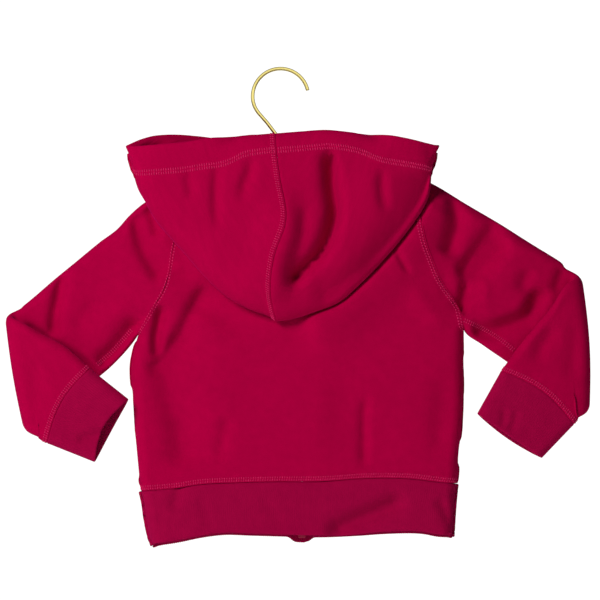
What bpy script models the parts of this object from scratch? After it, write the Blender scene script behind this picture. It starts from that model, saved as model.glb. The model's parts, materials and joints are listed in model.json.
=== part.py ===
"""Child's zip-up raglan hoodie with its hood hanging down the back, held by a brass wire hanger.

Every size below is in millimetres and becomes metres when a mesh is made.  The origin is the
underside of the hook's top, where a rail touches it.  +Z is up, the back of the garment and the
hanging hood face -Y, the zip faces +Y, and the wearer's left is -X.  The garment hangs almost flat:
back and front are one hollow cushion shape, each cut piece is a wall on it, and neighbouring pieces
stop SEAM apart at their seams.  Both sleeves are folded at the elbow towards the hood side.
"""
import math
from collections import namedtuple

import bmesh
import bpy
from mathutils import Vector

MM = 0.001
SEAM = 0.3              # gap between two cut pieces at a seam
FLEECE = 1.6            # wall of the body cloth
RIB = 2.6               # wall of the doubled rib in waistband and cuffs
HEM = 2.6               # wall of the hood where its face edge is turned in
HEM_DEPTH = 25.0        # how far the hood's edge is turned in
HEM_STEP = 1.0          # the wall thins beyond this from the turned edge's end

LEFT, RIGHT = "left", "right"
SIGN = {LEFT: -1, RIGHT: 1}
BACK, FRONT = -1, 1     # the y direction that a face looks to

# ---- cells along each piece ----
SIDE_ROWS = 7           # waist seam to underarm
CAP_ROWS = 9            # neck to underarm along a raglan seam
PANEL_COLUMNS = 24      # across the back, half as many across each front
AROUND = 9              # cells from a sleeve's upper edge to its lower edge, on each face
BAND_ROWS = 3           # waistband, top to bottom
CUFF_ROWS = 2           # cuff, seam to mouth
TAPE_ROWS = 10          # zip tape, bottom to top
EDGE_PIECES = 24        # straight pieces that stand for a folded edge when reach is measured from it

# ---- depth of the hanging garment ----
HALF_DEPTH = 13.0       # chest: half the distance from back to front
SLEEVE_HALF_DEPTH = 9.0
SLIM_FROM = 110.0       # from here outwards the cloth slims down to a sleeve
SLIM_OVER = 100.0
EDGE_ROUND = 14.0       # the cloth rounds over this far from a folded edge
EDGE_STEP_IN, EDGE_STEP_UP = 0.12, 1.6   # first cell beside a side seam, square to it
EDGE_STEP_SHARE = 0.2   # first cell beside a raglan seam, as a share of the next
CENTRE_X = 18.7         # middle of the neck

# ---- neck ----
NECK_HALF_WIDTH = 62.0
NECK_SIDE_Z = -88.0
NECK_BACK_DROP = 14.0
NECK_FRONT_DROP = 57.0
NECK_BACK_POWER, NECK_FRONT_POWER = 1.5, 1.6   # how long the neck seam stays low at the middle
NECK_FADE = 0.4         # share of a sleeve's cap over which the neck's curve dies out
BACK_RAGLAN_ANGLE = 140.0      # angles round the neck: 0 at the zip, 180 at the centre back
FRONT_RAGLAN_ANGLE = 42.0

# ---- zip ----
ZIP_GAP_HALF = 5.0
ZIP_BOTTOM_X = 21.7
ZIP_BOTTOM_Z = -470.0
TAPE_INNER, TAPE_OUTER = 1.3, 14.0
TAPE_WALL = 0.9
TAPE_TOP_Z, TAPE_BOTTOM_Z = -147.0, -459.5
TAPE_STEP_OVER = 30.0   # height over which a tape steps from the front's wall to the waistband's

Edge = namedtuple("Edge", "x z")
Section = namedtuple("Section", "top_x top_z end_x end_z half bow_back bow_front")
Roll = namedtuple("Roll", "angle outward y rise")
Rim = namedtuple("Rim", "angle x y z")
Depth = namedtuple("Depth", "reach y")
Crease = namedtuple("Crease", "x0 z0 x1 z1 width height")
Wire = namedtuple("Wire", "x y z")

SHOULDER = {
    LEFT: [Edge(-43.3, -88), Edge(-90, -107.5), Edge(-134.7, -131.5), Edge(-150.8, -145),
           Edge(-163.5, -159), Edge(-180.3, -171.5), Edge(-204, -191)],
    RIGHT: [Edge(80.7, -88), Edge(115, -98.5), Edge(150.5, -112.5), Edge(185.7, -133.5),
            Edge(219.7, -153.5), Edge(241, -167)],
}
RAGLAN = {
    (BACK, LEFT): [Edge(-21.2, -97.4), Edge(-58, -113), Edge(-84, -133), Edge(-100, -155),
                   Edge(-106.6, -176), Edge(-110.8, -201), Edge(-114.7, -216.5), Edge(-126.3, -237.5),
                   Edge(-142.3, -265)],
    (BACK, RIGHT): [Edge(58.6, -97.4), Edge(95, -106), Edge(120, -118), Edge(136, -134),
                    Edge(141, -152), Edge(145.7, -173), Edge(152.7, -191.5), Edge(160.7, -210.5),
                    Edge(173, -229), Edge(181, -245), Edge(183.2, -259.5)],
    (FRONT, LEFT): [Edge(-22.8, -123.5), Edge(-52, -140), Edge(-78, -163), Edge(-98, -190),
                    Edge(-116, -218), Edge(-131, -243), Edge(-142.3, -265)],
    (FRONT, RIGHT): [Edge(60.2, -123.5), Edge(92, -136), Edge(118, -155), Edge(138, -180),
                     Edge(155, -206), Edge(171, -232), Edge(183.2, -259.5)],
}
SIDE = {
    LEFT: [Edge(-139.3, -420.5), Edge(-140.5, -409), Edge(-144.5, -363.5), Edge(-147.5, -324.5),
           Edge(-149.3, -301.5), Edge(-148, -286.5), Edge(-142.3, -265)],
    RIGHT: [Edge(175.9, -413), Edge(177.4, -405), Edge(178, -385), Edge(180.9, -356.5),
            Edge(182.5, -322.5), Edge(183, -285), Edge(183.2, -259.5)],
}
BAND_SIDE = {
    LEFT: [Edge(-139.3, -420.5), Edge(-136.5, -432), Edge(-134.5, -447), Edge(-130.5, -466),
           Edge(-127.5, -474)],
    RIGHT: [Edge(175.9, -413), Edge(174.6, -424), Edge(173.7, -434), Edge(172.6, -452),
            Edge(171.9, -464.5)],
}
WAIST = [Edge(-139.3, -420.5), Edge(-108.3, -418), Edge(-77.3, -413.5), Edge(-41.3, -411.9),
         Edge(0, -411), Edge(40, -410.6), Edge(88.7, -407.7), Edge(127.7, -407.9),
         Edge(160, -411.6), Edge(175.9, -413)]
HEM_LINE = [Edge(-127.5, -474), Edge(-101.8, -470.1), Edge(-77.3, -465.2), Edge(-54.3, -462.6),
            Edge(-29.3, -463.4), Edge(8.7, -464.6), Edge(39.7, -465.4), Edge(75.7, -463.9),
            Edge(101.7, -462), Edge(127.7, -461.1), Edge(142.7, -461.8), Edge(158.7, -464.6),
            Edge(171.9, -464.5)]
FRONT_HEM_DROP = 1.5    # the front hangs this much lower than the back
ZIP_END_DROP = 5.5      # and this much more beside the zip, over ZIP_END_REACH
ZIP_END_REACH = 9.0

# Sleeve beyond the underarm: its flat tube from edge to edge, out to the elbow ...
UPPER_SLEEVE = {
    LEFT: [Section(-226, -209, -166, -293, 8.5, 0, 0), Section(-245, -225.5, -193, -316, 7.4, 0, 0),
           Section(-256, -234.5, -221, -340, 6, 0, 0)],
    RIGHT: [Section(257, -177, 203, -275, 8.5, 0, 0), Section(271, -185.5, 229, -293, 7.2, 0, 0),
            Section(281.5, -192.5, 262, -318, 6, 1, 1)],
}
# ... round the crease at the elbow, given as the line it turns about at the start and the end ...
ELBOW = {
    LEFT: (Section(-262, -241.5, -242, -355.5, 5.2, 2, 2), Section(-261, -250, -243, -365.5, 5.4, 2, 2)),
    RIGHT: (Section(288, -199.5, 293, -336, 5.2, 4, 4), Section(288, -212, 298, -346.5, 5.4, 4, 4)),
}
ELBOW_RADIUS = 8.0
ELBOW_TURN = (0, 36, 72, 108, 144, 180)
# ... and back in towards the body, to the cuff seam.
FOREARM = {
    LEFT: [Section(-241, -262, -241.2, -367.4, 6, 2, 2), Section(-215.5, -275.5, -238, -369.8, 6.8, 4, 4),
           Section(-190.3, -297.5, -233.3, -372, 7.6, 8, 8)],
    RIGHT: [Section(268, -240, 297.3, -348, 6, 4, 4), Section(243.5, -269, 296, -350, 6.8, 6, 6),
            Section(220.7, -299.5, 293.5, -353, 7.6, 8, 8)],
}
CUFF_MOUTH = {
    LEFT: Section(-152, -328.5, -187.7, -391, 8.6, -1, 7),
    RIGHT: Section(196.2, -343.2, 260.5, -387.5, 8.6, -3, 0),
}
SLEEVE_ROUND = 11.0

# ---- hood ----
# Where the hood, rolled over at the neck, starts to lie down the back.
ROLLS = [Roll(3, 0.5, 14.6, 12), Roll(20, 1, 15, 13), Roll(38, 4, 15.2, 15), Roll(52, 9, 14.5, 17),
         Roll(66, 15, 10.5, 16), Roll(76, 19, 4, 14), Roll(84, 21.5, -5, 11), Roll(90, 21, -12, 8.5),
         Roll(100, 16, -16, 7), Roll(118, 8, -17.4, 6), Roll(140, 3, -17.6, 6), Roll(180, 0, -17.6, 6)]
ROLL_UP = 5.0           # the hood stands up from its seam this far,
LEAN_SHARE, LEAN_RISE = 0.12, 8.5       # then leans this share of the way out at this height,
ROLL_CROWN = 4.5        # and passes this far above the roll's higher end
# The bottom fold of the hanging hood, from its upper corner round to the tip.
HOOD_FOLD = {
    LEFT: [Edge(-152.6, -86), Edge(-148.7, -98.5), Edge(-142.3, -118.5), Edge(-134.7, -131.5),
           Edge(-124.3, -150.5), Edge(-107.3, -170.2), Edge(-96.3, -182.5), Edge(-75.3, -206.5),
           Edge(-58.3, -222.5), Edge(-40.3, -234.5), Edge(-23.3, -241.8), Edge(-11.9, -245.5),
           Edge(-3.5, -251)],
    RIGHT: [Edge(156.6, -85), Edge(154.2, -94), Edge(151.2, -104), Edge(150, -114.5),
            Edge(147.5, -128), Edge(138.7, -144.5), Edge(118.7, -171.5), Edge(97.7, -195.5),
            Edge(78.3, -215.1), Edge(58.7, -231.9), Edge(34.7, -241.5), Edge(13.7, -248.3),
            Edge(-3.5, -251)],
}
# The face edge on the outer layer, from the corner to the centre seam.
FACE_EDGE = {
    LEFT: [Edge(-154.3, -76.9), Edge(-120, -74.5), Edge(-89.3, -71.5), Edge(-73.7, -68.6),
           Edge(-40, -65.8), Edge(-4.8, -63.5)],
    RIGHT: [Edge(159, -76.2), Edge(125.7, -68.5), Edge(103.7, -64.8), Edge(83.7, -64.3),
            Edge(62.7, -61.5), Edge(44.7, -60), Edge(20.7, -61.5), Edge(-4.8, -63.5)],
}
# The face edge from that corner forwards, over the shoulder and down to the zip.
FACE_EDGE_FRONT = {
    LEFT: [Rim(3, 3, 15.5, -119), Rim(20, -14, 15.5, -99), Rim(38, -38, 13.5, -80),
           Rim(52, -62, 8, -69.5), Rim(66, -92, 0, -66), Rim(76, -116, -9, -66.2),
           Rim(84, -137, -19, -69.8), Rim(90, -154.3, -28.5, -76.9)],
    RIGHT: [Rim(3, 35, 15.5, -123), Rim(20, 50, 15.5, -110), Rim(38, 68, 15, -97),
            Rim(52, 88, 13, -87.5), Rim(66, 108, 3, -82), Rim(76, 128, -9, -79),
            Rim(84, 145, -19.5, -77), Rim(90, 159, -28.5, -76.2)],
}
FAR_Y = -17.6           # inner layer of the hood, lying on the back
FOLD_Y = -21.6          # lowest line of the fold
NEAR_DEPTH = [Depth(0, FOLD_Y), Depth(3, -26), Depth(7, -28.6), Depth(14, -31.5), Depth(30, -35.5),
              Depth(60, -38.5), Depth(110, -39.8), Depth(200, -40)]
FAR_SHARES = (0.22, 0.5, 0.78)
NEAR_SHARES = (0.14, 0.34, 0.56, 0.78)
LIE_SHARE = 0.5         # share of the inner layer by which it has come down on to the back
FOLD_TURN = 4.0         # the inner layer turns into the fold over this length
FOLD_STEP = 3.0         # height of the first cell over the fold
BEND_FADE = 8.0         # degrees in front of the shoulder over which the fold dies out
EVEN_OVER = 60.0        # degrees in front of the shoulder over which the cells become even
SEAM_FLAT = 2.0         # the hood lies square to its centre seam for this far
CENTRE_SEAM = [Edge(-4.8, -63.5), Edge(-1.7, -97.5), Edge(4.7, -136), Edge(5.5, -159),
               Edge(-6.7, -189.5), Edge(-9.3, -228), Edge(-3.5, -251)]
HOOD_VALLEY = [Edge(41, -88), Edge(48.7, -97), Edge(52.7, -119.5), Edge(53, -139.5), Edge(47.4, -161.5),
               Edge(31.7, -192.5), Edge(15, -213.5), Edge(3, -234)]
VALLEY_DEPTH, VALLEY_WIDTH = 8.0, 11.0

# Soft folds of the back and the front: straight lines that stand out (or sink, if negative).
CREASES = {
    BACK: [Crease(-128, -276, -83, -229, 10, 2.6), Crease(-117, -318, -116, -402, 9, 1.4),
           Crease(168, -262, 128, -214, 10, 2.2)],
    FRONT: [Crease(-124, -280, -86, -236, 10, 2.2), Crease(160, -272, 122, -226, 10, 2.4)],
}

# ---- hanger ----
WIRE_RADIUS = 1.85
RING_X, RING_Z, RING_RADIUS = 0.2, -26.0, 27.85
RING_FROM, RING_TO = 12.5, 204.0         # degrees: open tip, then over the top to the shank
RING_STEPS = 22
SHANK = [Wire(-23.2, 0, -39), Wire(-14, 0, -51.2), Wire(-5.3, 0, -62.7), Wire(6, 0, -77.7),
         Wire(11.4, 0, -84.8)]
ARMS = [Wire(-121, 0, -128.6), Wire(-106, 0, -120.4), Wire(-90, 0, -112), Wire(-66, 0, -101.6),
        Wire(-43.3, 0, -93.6), Wire(-15, 0, -89.6), Wire(14, 0, -88.6), Wire(50, 0, -89.4),
        Wire(80.7, 0, -93.2), Wire(98, 0, -97.8), Wire(115, 0, -103.2), Wire(132, 0, -109.8),
        Wire(150, 0, -117.2)]

# ---- slider and its pull tab ----
SLIDER_Z = -154.0
SLIDER_HALF_WIDTH, SLIDER_LENGTH = 4.2, 10.0
PLATE = 1.2
CHANNEL_HALF = 1.6      # half the room between the plates for the teeth
LIP = 0.6
LIP_ROOM = 0.35         # between a tape and the lips
POST_HALF_WIDTH, POST_LENGTH, POST_INSET = 0.8, 2.4, 0.2
JOIN = 0.5              # the slider's parts run this far into each other
INSET = 0.1             # and their ends stand this far off a plate's ends
BRIDGE_INSET = 0.01     # the bridge's top stands in from its legs by this
BRIDGE_HALF_WIDTH, BRIDGE_BAR = 1.0, 1.1
BRIDGE_REACH = 3.4      # from the hinge line to the middle of each leg
EYE_RADIUS = 1.3        # height of the hinge line over the plate, and room under the bridge
TAB_THICK, TAB_WIDTH, TAB_LENGTH = 1.3, 7.0, 24.0
TAB_EYE_HALF_WIDTH, TAB_EYE_LENGTH = 1.6, 5.4
TAB_CORNER, TAB_WAIST = 1.2, 0.5         # cut corners at the top, and narrowing at the waist
TAB_WAIST_DROP, TAB_FOOT_DROP = 9.0, 17.0
TAB_END_STEP = 18       # degrees of the round end to one straight piece
RETAINER_ROUND = 0.6
RETAINER_WIDTH, RETAINER_HEIGHT, RETAINER_DEPTH = 7.0, 8.0, 2.8


def smoothstep(t):
    """Ease from 0 to 1."""
    t = min(max(t, 0.0), 1.0)
    return t * t * (3 - 2 * t)


def mix(a, b, t):
    """The number t of the way from a to b."""
    return a + (b - a) * t


class Path:
    """A smooth curve through the rows of a table, read by share of its length or by a column."""

    def __init__(self, rows, by=None):
        self.rows = rows
        self.kind = type(rows[0])
        if by:
            self.knots = [getattr(row, by) for row in rows]
        else:
            self.knots = [0.0]
            for first, second in zip(rows, rows[1:]):
                step = math.sqrt(sum((q - p) ** 2 for p, q in zip(first, second)))
                self.knots.append(self.knots[-1] + step)

    def slope(self, index):
        """Rate of change of every column at a row."""
        low = max(index - 1, 0)
        high = min(index + 1, len(self.rows) - 1)
        span = self.knots[high] - self.knots[low]
        return [(q - p) / span for p, q in zip(self.rows[low], self.rows[high])]

    def read(self, knot):
        """The row at a value of the knot column."""
        knot = min(max(knot, self.knots[0]), self.knots[-1])
        index = 0
        while index < len(self.rows) - 2 and knot > self.knots[index + 1]:
            index += 1
        span = self.knots[index + 1] - self.knots[index]
        t = (knot - self.knots[index]) / span
        weights = (2 * t ** 3 - 3 * t ** 2 + 1, t ** 3 - 2 * t ** 2 + t,
                   3 * t ** 2 - 2 * t ** 3, t ** 3 - t ** 2)
        columns = zip(self.rows[index], self.slope(index), self.rows[index + 1], self.slope(index + 1))
        return self.kind(*(weights[0] * p + weights[1] * u * span + weights[2] * q + weights[3] * v * span
                           for p, u, q, v in columns))

    def at(self, share):
        """The row at a share of the length."""
        return self.read(self.knots[0] + share * (self.knots[-1] - self.knots[0]))

    def points(self, count):
        """Rows at even shares of the length, both ends included."""
        return [self.at(index / count) for index in range(count + 1)]


SHOULDER_PATH = {side: Path(rows) for side, rows in SHOULDER.items()}
RAGLAN_PATH = {key: Path(rows) for key, rows in RAGLAN.items()}
SIDE_PATH = {side: Path(rows) for side, rows in SIDE.items()}
BAND_PATH = {side: Path(rows) for side, rows in BAND_SIDE.items()}
WAIST_PATH = Path(WAIST, by="x")
HEM_PATH = Path(HEM_LINE, by="x")
FOLD_PATH = {side: Path(rows) for side, rows in HOOD_FOLD.items()}
EDGE_PATH = {side: Path(rows) for side, rows in FACE_EDGE.items()}
RIM_PATH = {side: Path(rows, by="angle") for side, rows in FACE_EDGE_FRONT.items()}
ROLL_PATH = Path(ROLLS, by="angle")
NEAR_PATH = Path(NEAR_DEPTH, by="reach")
SEAM_BY_HEIGHT = Path(CENTRE_SEAM[::-1], by="z")
VALLEY_PATH = Path(HOOD_VALLEY)


# ---- the hollow cushion shape that the body's pieces are walls of ----

def outline():
    """The folded edges of the flat garment, as short straight pieces."""
    chains = [[SHOULDER[LEFT][0], SHOULDER[RIGHT][0]]]
    for side in (LEFT, RIGHT):
        beyond = UPPER_SLEEVE[side][:2]
        sleeve_top = [Edge(row.top_x, row.top_z) for row in beyond]
        chains.append(SHOULDER_PATH[side].points(EDGE_PIECES) + sleeve_top)
        chains.append(SIDE_PATH[side].points(EDGE_PIECES))
        chains.append([SIDE[side][-1]] + [Edge(row.end_x, row.end_z) for row in beyond])
        chains.append(BAND_PATH[side].points(EDGE_PIECES // 2))
    return [(a, b) for chain in chains for a, b in zip(chain, chain[1:])]


def distance(x, z, a, b):
    """Distance from a point to the straight piece a to b."""
    run_x, run_z = b.x - a.x, b.z - a.z
    along = ((x - a.x) * run_x + (z - a.z) * run_z) / (run_x ** 2 + run_z ** 2)
    along = min(max(along, 0.0), 1.0)
    return math.hypot(x - a.x - along * run_x, z - a.z - along * run_z)


OUTLINE = outline()


def rounded(reach, radius):
    """Quarter-round rise from 0 at a folded edge to 1 at the radius."""
    share = min(max(reach / radius, 0.0), 1.0)
    return math.sqrt(1 - (1 - share) ** 2)


def crease_relief(face, x, z):
    """How far the soft folds of a face stand out at a point."""
    total = 0.0
    for crease in CREASES[face]:
        away = distance(x, z, Edge(crease.x0, crease.z0), Edge(crease.x1, crease.z1))
        total += crease.height * math.exp(-(away / crease.width) ** 2)
    return total


def half_depth(x, z, face=BACK):
    """Distance from the middle plane to the outer face of the body and the sleeve tops."""
    reach = min(distance(x, z, a, b) for a, b in OUTLINE)
    slim = smoothstep((abs(x - CENTRE_X) - SLIM_FROM) / SLIM_OVER)
    full = mix(HALF_DEPTH, SLEEVE_HALF_DEPTH, slim)
    share = rounded(reach, EDGE_ROUND)
    return full * share + crease_relief(face, x, z) * share ** 2


def zip_x(z):
    """The zip's centre line, which leans a little from the neck to the hem."""
    top_z = NECK_SIDE_Z - NECK_FRONT_DROP
    return mix(CENTRE_X, ZIP_BOTTOM_X, (z - top_z) / (ZIP_BOTTOM_Z - top_z))


def neck(side, angle):
    """Point of the neck seam: angle 0 at the zip, 90 at the shoulder, 180 at the centre back."""
    turn = math.radians(angle)
    cosine = math.cos(turn)
    if cosine > 0:
        drop = NECK_FRONT_DROP * cosine ** NECK_FRONT_POWER
    else:
        drop = NECK_BACK_DROP * (-cosine) ** NECK_BACK_POWER
    x = CENTRE_X + SIGN[side] * NECK_HALF_WIDTH * math.sin(turn)
    z = NECK_SIDE_Z - drop
    y = -half_depth(x, z) if cosine < 0 else half_depth(x, z, FRONT)
    if abs(angle - 90) < 0.01:
        y = 0.0
    return Vector((x, y, z))


def neck_angle(x):
    """The angle, 0 to 90, at which the neck seam has this x."""
    share = min(abs(x - CENTRE_X) / NECK_HALF_WIDTH, 1.0)
    return math.degrees(math.asin(share))


def raglan(face, side, share, shift):
    """Point of a raglan seam from neck to underarm, moved away from the body panel by shift."""
    path = RAGLAN_PATH[(face, side)]
    here = path.at(share)
    before, after = path.at(max(share - 0.01, 0)), path.at(min(share + 0.01, 1))
    run = Vector((after.x - before.x, after.z - before.z)).normalized()
    away = Vector((run.y, -run.x)) * -SIGN[side]
    depth = 0.0 if share > 0.999 else half_depth(here.x, here.z, face)
    return Vector((here.x + away.x * shift, face * depth, here.z + away.y * shift))


# ---- meshes ----

def spread(index, count, bunched):
    """Share of the way across for one column: even, or bunched at both ends."""
    even = index / count
    return mix(even, (1 - math.cos(math.pi * even)) / 2, bunched)


def spread_one_end(index, count, bunched):
    """Share of the way across for one column: even, or bunched at its start."""
    even = index / count
    return mix(even, 1 - math.cos(math.pi / 2 * even), bunched)


def linked(name, data, collection, material):
    """An object in the garment's collection with its one material."""
    piece = bpy.data.objects.new(name, data)
    collection.objects.link(piece)
    data.materials.clear()
    data.materials.append(material)
    return piece


def wall(name, rows, thickness, collection, material, flip=False, closed_from=None, thin=None):
    """A cloth wall: a sheet through rows of points, thickened inwards.

    From row closed_from on, a row's last point is its first, so the sheet is a tube there.  thin is
    a set of (row, column) cells of a thinner cloth, whose wall is FLEECE.
    """
    mesh = bpy.data.meshes.new(name)
    build = bmesh.new()
    grid = []
    for number, row in enumerate(rows):
        closed = closed_from is not None and number >= closed_from
        made = [build.verts.new(Vector(point) * MM) for point in (row[:-1] if closed else row)]
        grid.append(made + [made[0]] if closed else made)
    for lower, upper in zip(grid, grid[1:]):
        for column in range(len(lower) - 1):
            corners = []
            for vert in (lower[column], lower[column + 1], upper[column + 1], upper[column]):
                if vert not in corners:
                    corners.append(vert)
            build.faces.new(corners[::-1] if flip else corners)
    build.verts.index_update()
    thick = [grid[row][column].index for row in range(len(grid)) for column in range(len(grid[row]))
             if thin is None or (row, column) not in thin]
    build.to_mesh(mesh)
    build.free()
    mesh.shade_smooth()
    piece = linked(name, mesh, collection, material)
    solidify = piece.modifiers.new("wall", "SOLIDIFY")
    solidify.thickness = thickness * MM
    solidify.offset = -1
    if thin is not None:
        group = piece.vertex_groups.new(name="turned_edge")
        group.add(thick, 1.0, "REPLACE")
        solidify.vertex_group = group.name
        solidify.thickness_vertex_group = FLEECE / thickness
    return piece


# ---- body ----

def panel_edge(face, side, row):
    """Point of a panel's side at a row: up the side seam, then up the raglan seam."""
    if row <= SIDE_ROWS:
        here = SIDE_PATH[side].at(row / SIDE_ROWS)
        gap = SEAM / 2 if row < SIDE_ROWS - 1 else SEAM
        return Vector((here.x, face * gap, here.z))
    share = 1 - (row - SIDE_ROWS) / CAP_ROWS
    return raglan(face, side, share, -SEAM / 2)


def beside_edge(face, side, row, edge, second):
    """Point close to a panel's side that turns the cloth square to the seam there."""
    if row <= SIDE_ROWS:
        return Vector((edge.x - SIGN[side] * EDGE_STEP_IN, face * EDGE_STEP_UP, edge.z))
    x, z = mix(edge.x, second.x, EDGE_STEP_SHARE), mix(edge.z, second.z, EDGE_STEP_SHARE)
    return Vector((x, face * half_depth(x, z, face), z))


def back_rows():
    """Rows of the back panel from the waist seam to the neck, wearer's left to right."""
    last = SIDE_ROWS + CAP_ROWS
    rows = []
    for row in range(last + 1):
        left, right = panel_edge(BACK, LEFT, row), panel_edge(BACK, RIGHT, row)
        to_neck = smoothstep((row - SIDE_ROWS) / CAP_ROWS)
        to_waist = 1 - smoothstep(row / SIDE_ROWS)
        points = [left]
        for column in range(1, PANEL_COLUMNS):
            share = spread(column, PANEL_COLUMNS, 1 - to_neck)
            x, z = mix(left.x, right.x, share), mix(left.z, right.z, share)
            waist_x = mix(WAIST[0].x, WAIST[-1].x, share)
            waist_line = mix(WAIST[0].z, WAIST[-1].z, share)
            z += to_waist * (WAIST_PATH.read(waist_x).z - waist_line)
            neck_x = mix(RAGLAN[(BACK, LEFT)][0].x, RAGLAN[(BACK, RIGHT)][0].x, share)
            seam = neck(RIGHT, 180 - neck_angle(neck_x))
            neck_line = mix(RAGLAN[(BACK, LEFT)][0].z, RAGLAN[(BACK, RIGHT)][0].z, share)
            z += to_neck ** 3 * (seam.z - neck_line)
            points.append(Vector((x, -half_depth(x, z), z)))
        points.append(right)
        points.insert(1, beside_edge(BACK, LEFT, row, left, points[1]))
        points.insert(-1, beside_edge(BACK, RIGHT, row, right, points[-2]))
        rows.append(points)
    return rows


def front_rows(side):
    """Rows of one front panel from the waist seam to the neck, side seam to zip."""
    last = SIDE_ROWS + CAP_ROWS
    columns = PANEL_COLUMNS // 2
    lengths = [0.0]
    edges = [panel_edge(FRONT, side, row) for row in range(last + 1)]
    for first, second in zip(edges, edges[1:]):
        lengths.append(lengths[-1] + (second - first).length)
    zip_foot = ZIP_BOTTOM_X + SIGN[side] * ZIP_GAP_HALF
    foot_z = WAIST_PATH.read(zip_foot).z
    top = neck(side, neck_angle(CENTRE_X + ZIP_GAP_HALF))
    rows = []
    for row, edge in enumerate(edges):
        to_neck = smoothstep((row - SIDE_ROWS) / CAP_ROWS)
        to_waist = 1 - smoothstep(row / SIDE_ROWS)
        zip_z = mix(foot_z, top.z, lengths[row] / lengths[-1])
        points = [edge]
        for column in range(1, columns + 1):
            share = spread_one_end(column, columns, 1 - to_neck)
            x = mix(edge.x, zip_x(zip_z) + SIGN[side] * ZIP_GAP_HALF, share)
            z = mix(edge.z, zip_z, share)
            waist_x = mix(SIDE[side][0].x, zip_foot, share)
            waist_line = mix(SIDE[side][0].z, foot_z, share)
            z += to_waist * (WAIST_PATH.read(waist_x).z - waist_line)
            start = RAGLAN[(FRONT, side)][0]
            neck_x = mix(start.x, top.x, share)
            neck_line = mix(start.z, top.z, share)
            z += to_neck ** 3 * (neck(side, neck_angle(neck_x)).z - neck_line)
            points.append(Vector((x, half_depth(x, z, FRONT), z)))
        points.insert(1, beside_edge(FRONT, side, row, edge, points[1]))
        rows.append(points)
    return rows


def band_point(face, side_share, drop, zip_side=None):
    """Point of the waistband: side_share across the flat width, drop from seam to hem."""
    left, right = BAND_PATH[LEFT].at(drop), BAND_PATH[RIGHT].at(drop)
    x = mix(left.x, right.x, side_share)
    seam_x = mix(WAIST[0].x, WAIST[-1].x, side_share)
    hem_x = mix(HEM_LINE[0].x, HEM_LINE[-1].x, side_share)
    hem_z = HEM_PATH.read(hem_x).z
    if face == FRONT:
        near_zip = math.exp(-((hem_x - ZIP_BOTTOM_X) / ZIP_END_REACH) ** 2 / 2)
        hem_z -= FRONT_HEM_DROP + ZIP_END_DROP * near_zip
    z = mix(WAIST_PATH.read(seam_x).z - SEAM, hem_z, drop)
    if zip_side is not None:
        x = zip_x(z) + SIGN[zip_side] * ZIP_GAP_HALF
    y = 0.0 if side_share in (0, 1) else face * half_depth(x, z, face)
    return Vector((x, y, z))


def band_rows():
    """Rows of the waistband from its seam down, round from one side of the zip to the other."""
    half = PANEL_COLUMNS // 2
    width = WAIST[-1].x - WAIST[0].x
    rows = []
    zip_share = {side: (ZIP_BOTTOM_X + SIGN[side] * ZIP_GAP_HALF - WAIST[0].x) / width for side in SIGN}
    for row in range(BAND_ROWS + 1):
        drop = row / BAND_ROWS
        points = []
        for column in range(half, 0, -1):
            share = mix(1, zip_share[RIGHT], spread_one_end(column, half, 1))
            points.append(band_point(FRONT, share, drop, RIGHT if column == half else None))
        for column in range(PANEL_COLUMNS, -1, -1):
            points.append(band_point(BACK, spread(column, PANEL_COLUMNS, 1), drop))
        for column in range(1, half + 1):
            share = mix(0, zip_share[LEFT], spread_one_end(column, half, 1))
            points.append(band_point(FRONT, share, drop, LEFT if column == half else None))
        rows.append(points)
    return rows


# ---- sleeves ----

def cap_rows(side):
    """Rows of a sleeve from the neck to the underarm: back raglan seam, shoulder, front raglan seam."""
    rows = []
    for row in range(CAP_ROWS + 1):
        share = row / CAP_ROWS
        top = SHOULDER_PATH[side].at(share)
        from_neck = smoothstep(share / NECK_FADE)
        points = []
        for step in range(-AROUND, AROUND + 1):
            face = BACK if step < 0 else FRONT
            down = spread(abs(step), AROUND, 1)
            end = raglan(face, side, share, SEAM / 2)
            last_angle = BACK_RAGLAN_ANGLE if face == BACK else FRONT_RAGLAN_ANGLE
            if abs(step) == AROUND and row > 0:
                point = end
            elif row == 0:
                point = neck(side, mix(90, last_angle, down))
            else:
                seam = neck(side, mix(90, last_angle, down))
                start, stop = SHOULDER[side][0], RAGLAN[(face, side)][0]
                x = mix(top.x, end.x, down) + (1 - from_neck) * (seam.x - mix(start.x, stop.x, down))
                z = mix(top.z, end.z, down) + (1 - from_neck) * (seam.z - mix(start.z, stop.z, down))
                y = 0.0 if step == 0 else face * half_depth(x, z, face)
                point = Vector((x, y, z))
            points.append(point)
        rows.append(points)
    rows[-1][0] = rows[-1][-1] = Vector((rows[-1][0].x, 0, rows[-1][0].z))
    return rows


def tube_row(side, section, centre_y=0.0, turn=0.0, shift=0.0):
    """One ring of a flattened sleeve.  turn is how far it has gone round the elbow's crease."""
    angle = math.radians(turn)
    front_way = Vector((SIGN[side] * math.sin(angle), math.cos(angle), 0))
    top = Vector((section.top_x, centre_y, section.top_z))
    end = Vector((section.end_x, centre_y, section.end_z))
    run = end - top
    length = run.length
    run.normalize()
    outwards = Vector((-run.z, 0, run.x)) * SIGN[side]
    points = []
    for step in range(-AROUND, AROUND + 1):
        face = BACK if step < 0 else FRONT
        down = spread(abs(step), AROUND, 1)
        reach = min(down, 1 - down) * length
        bow = section.bow_back if face == BACK else section.bow_front
        lift = face * section.half * rounded(reach, SLEEVE_ROUND)
        point = top.lerp(end, down) + front_way * lift
        point += outwards * (bow * math.sin(math.pi * down) - shift)
        points.append(point)
    return points


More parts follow.
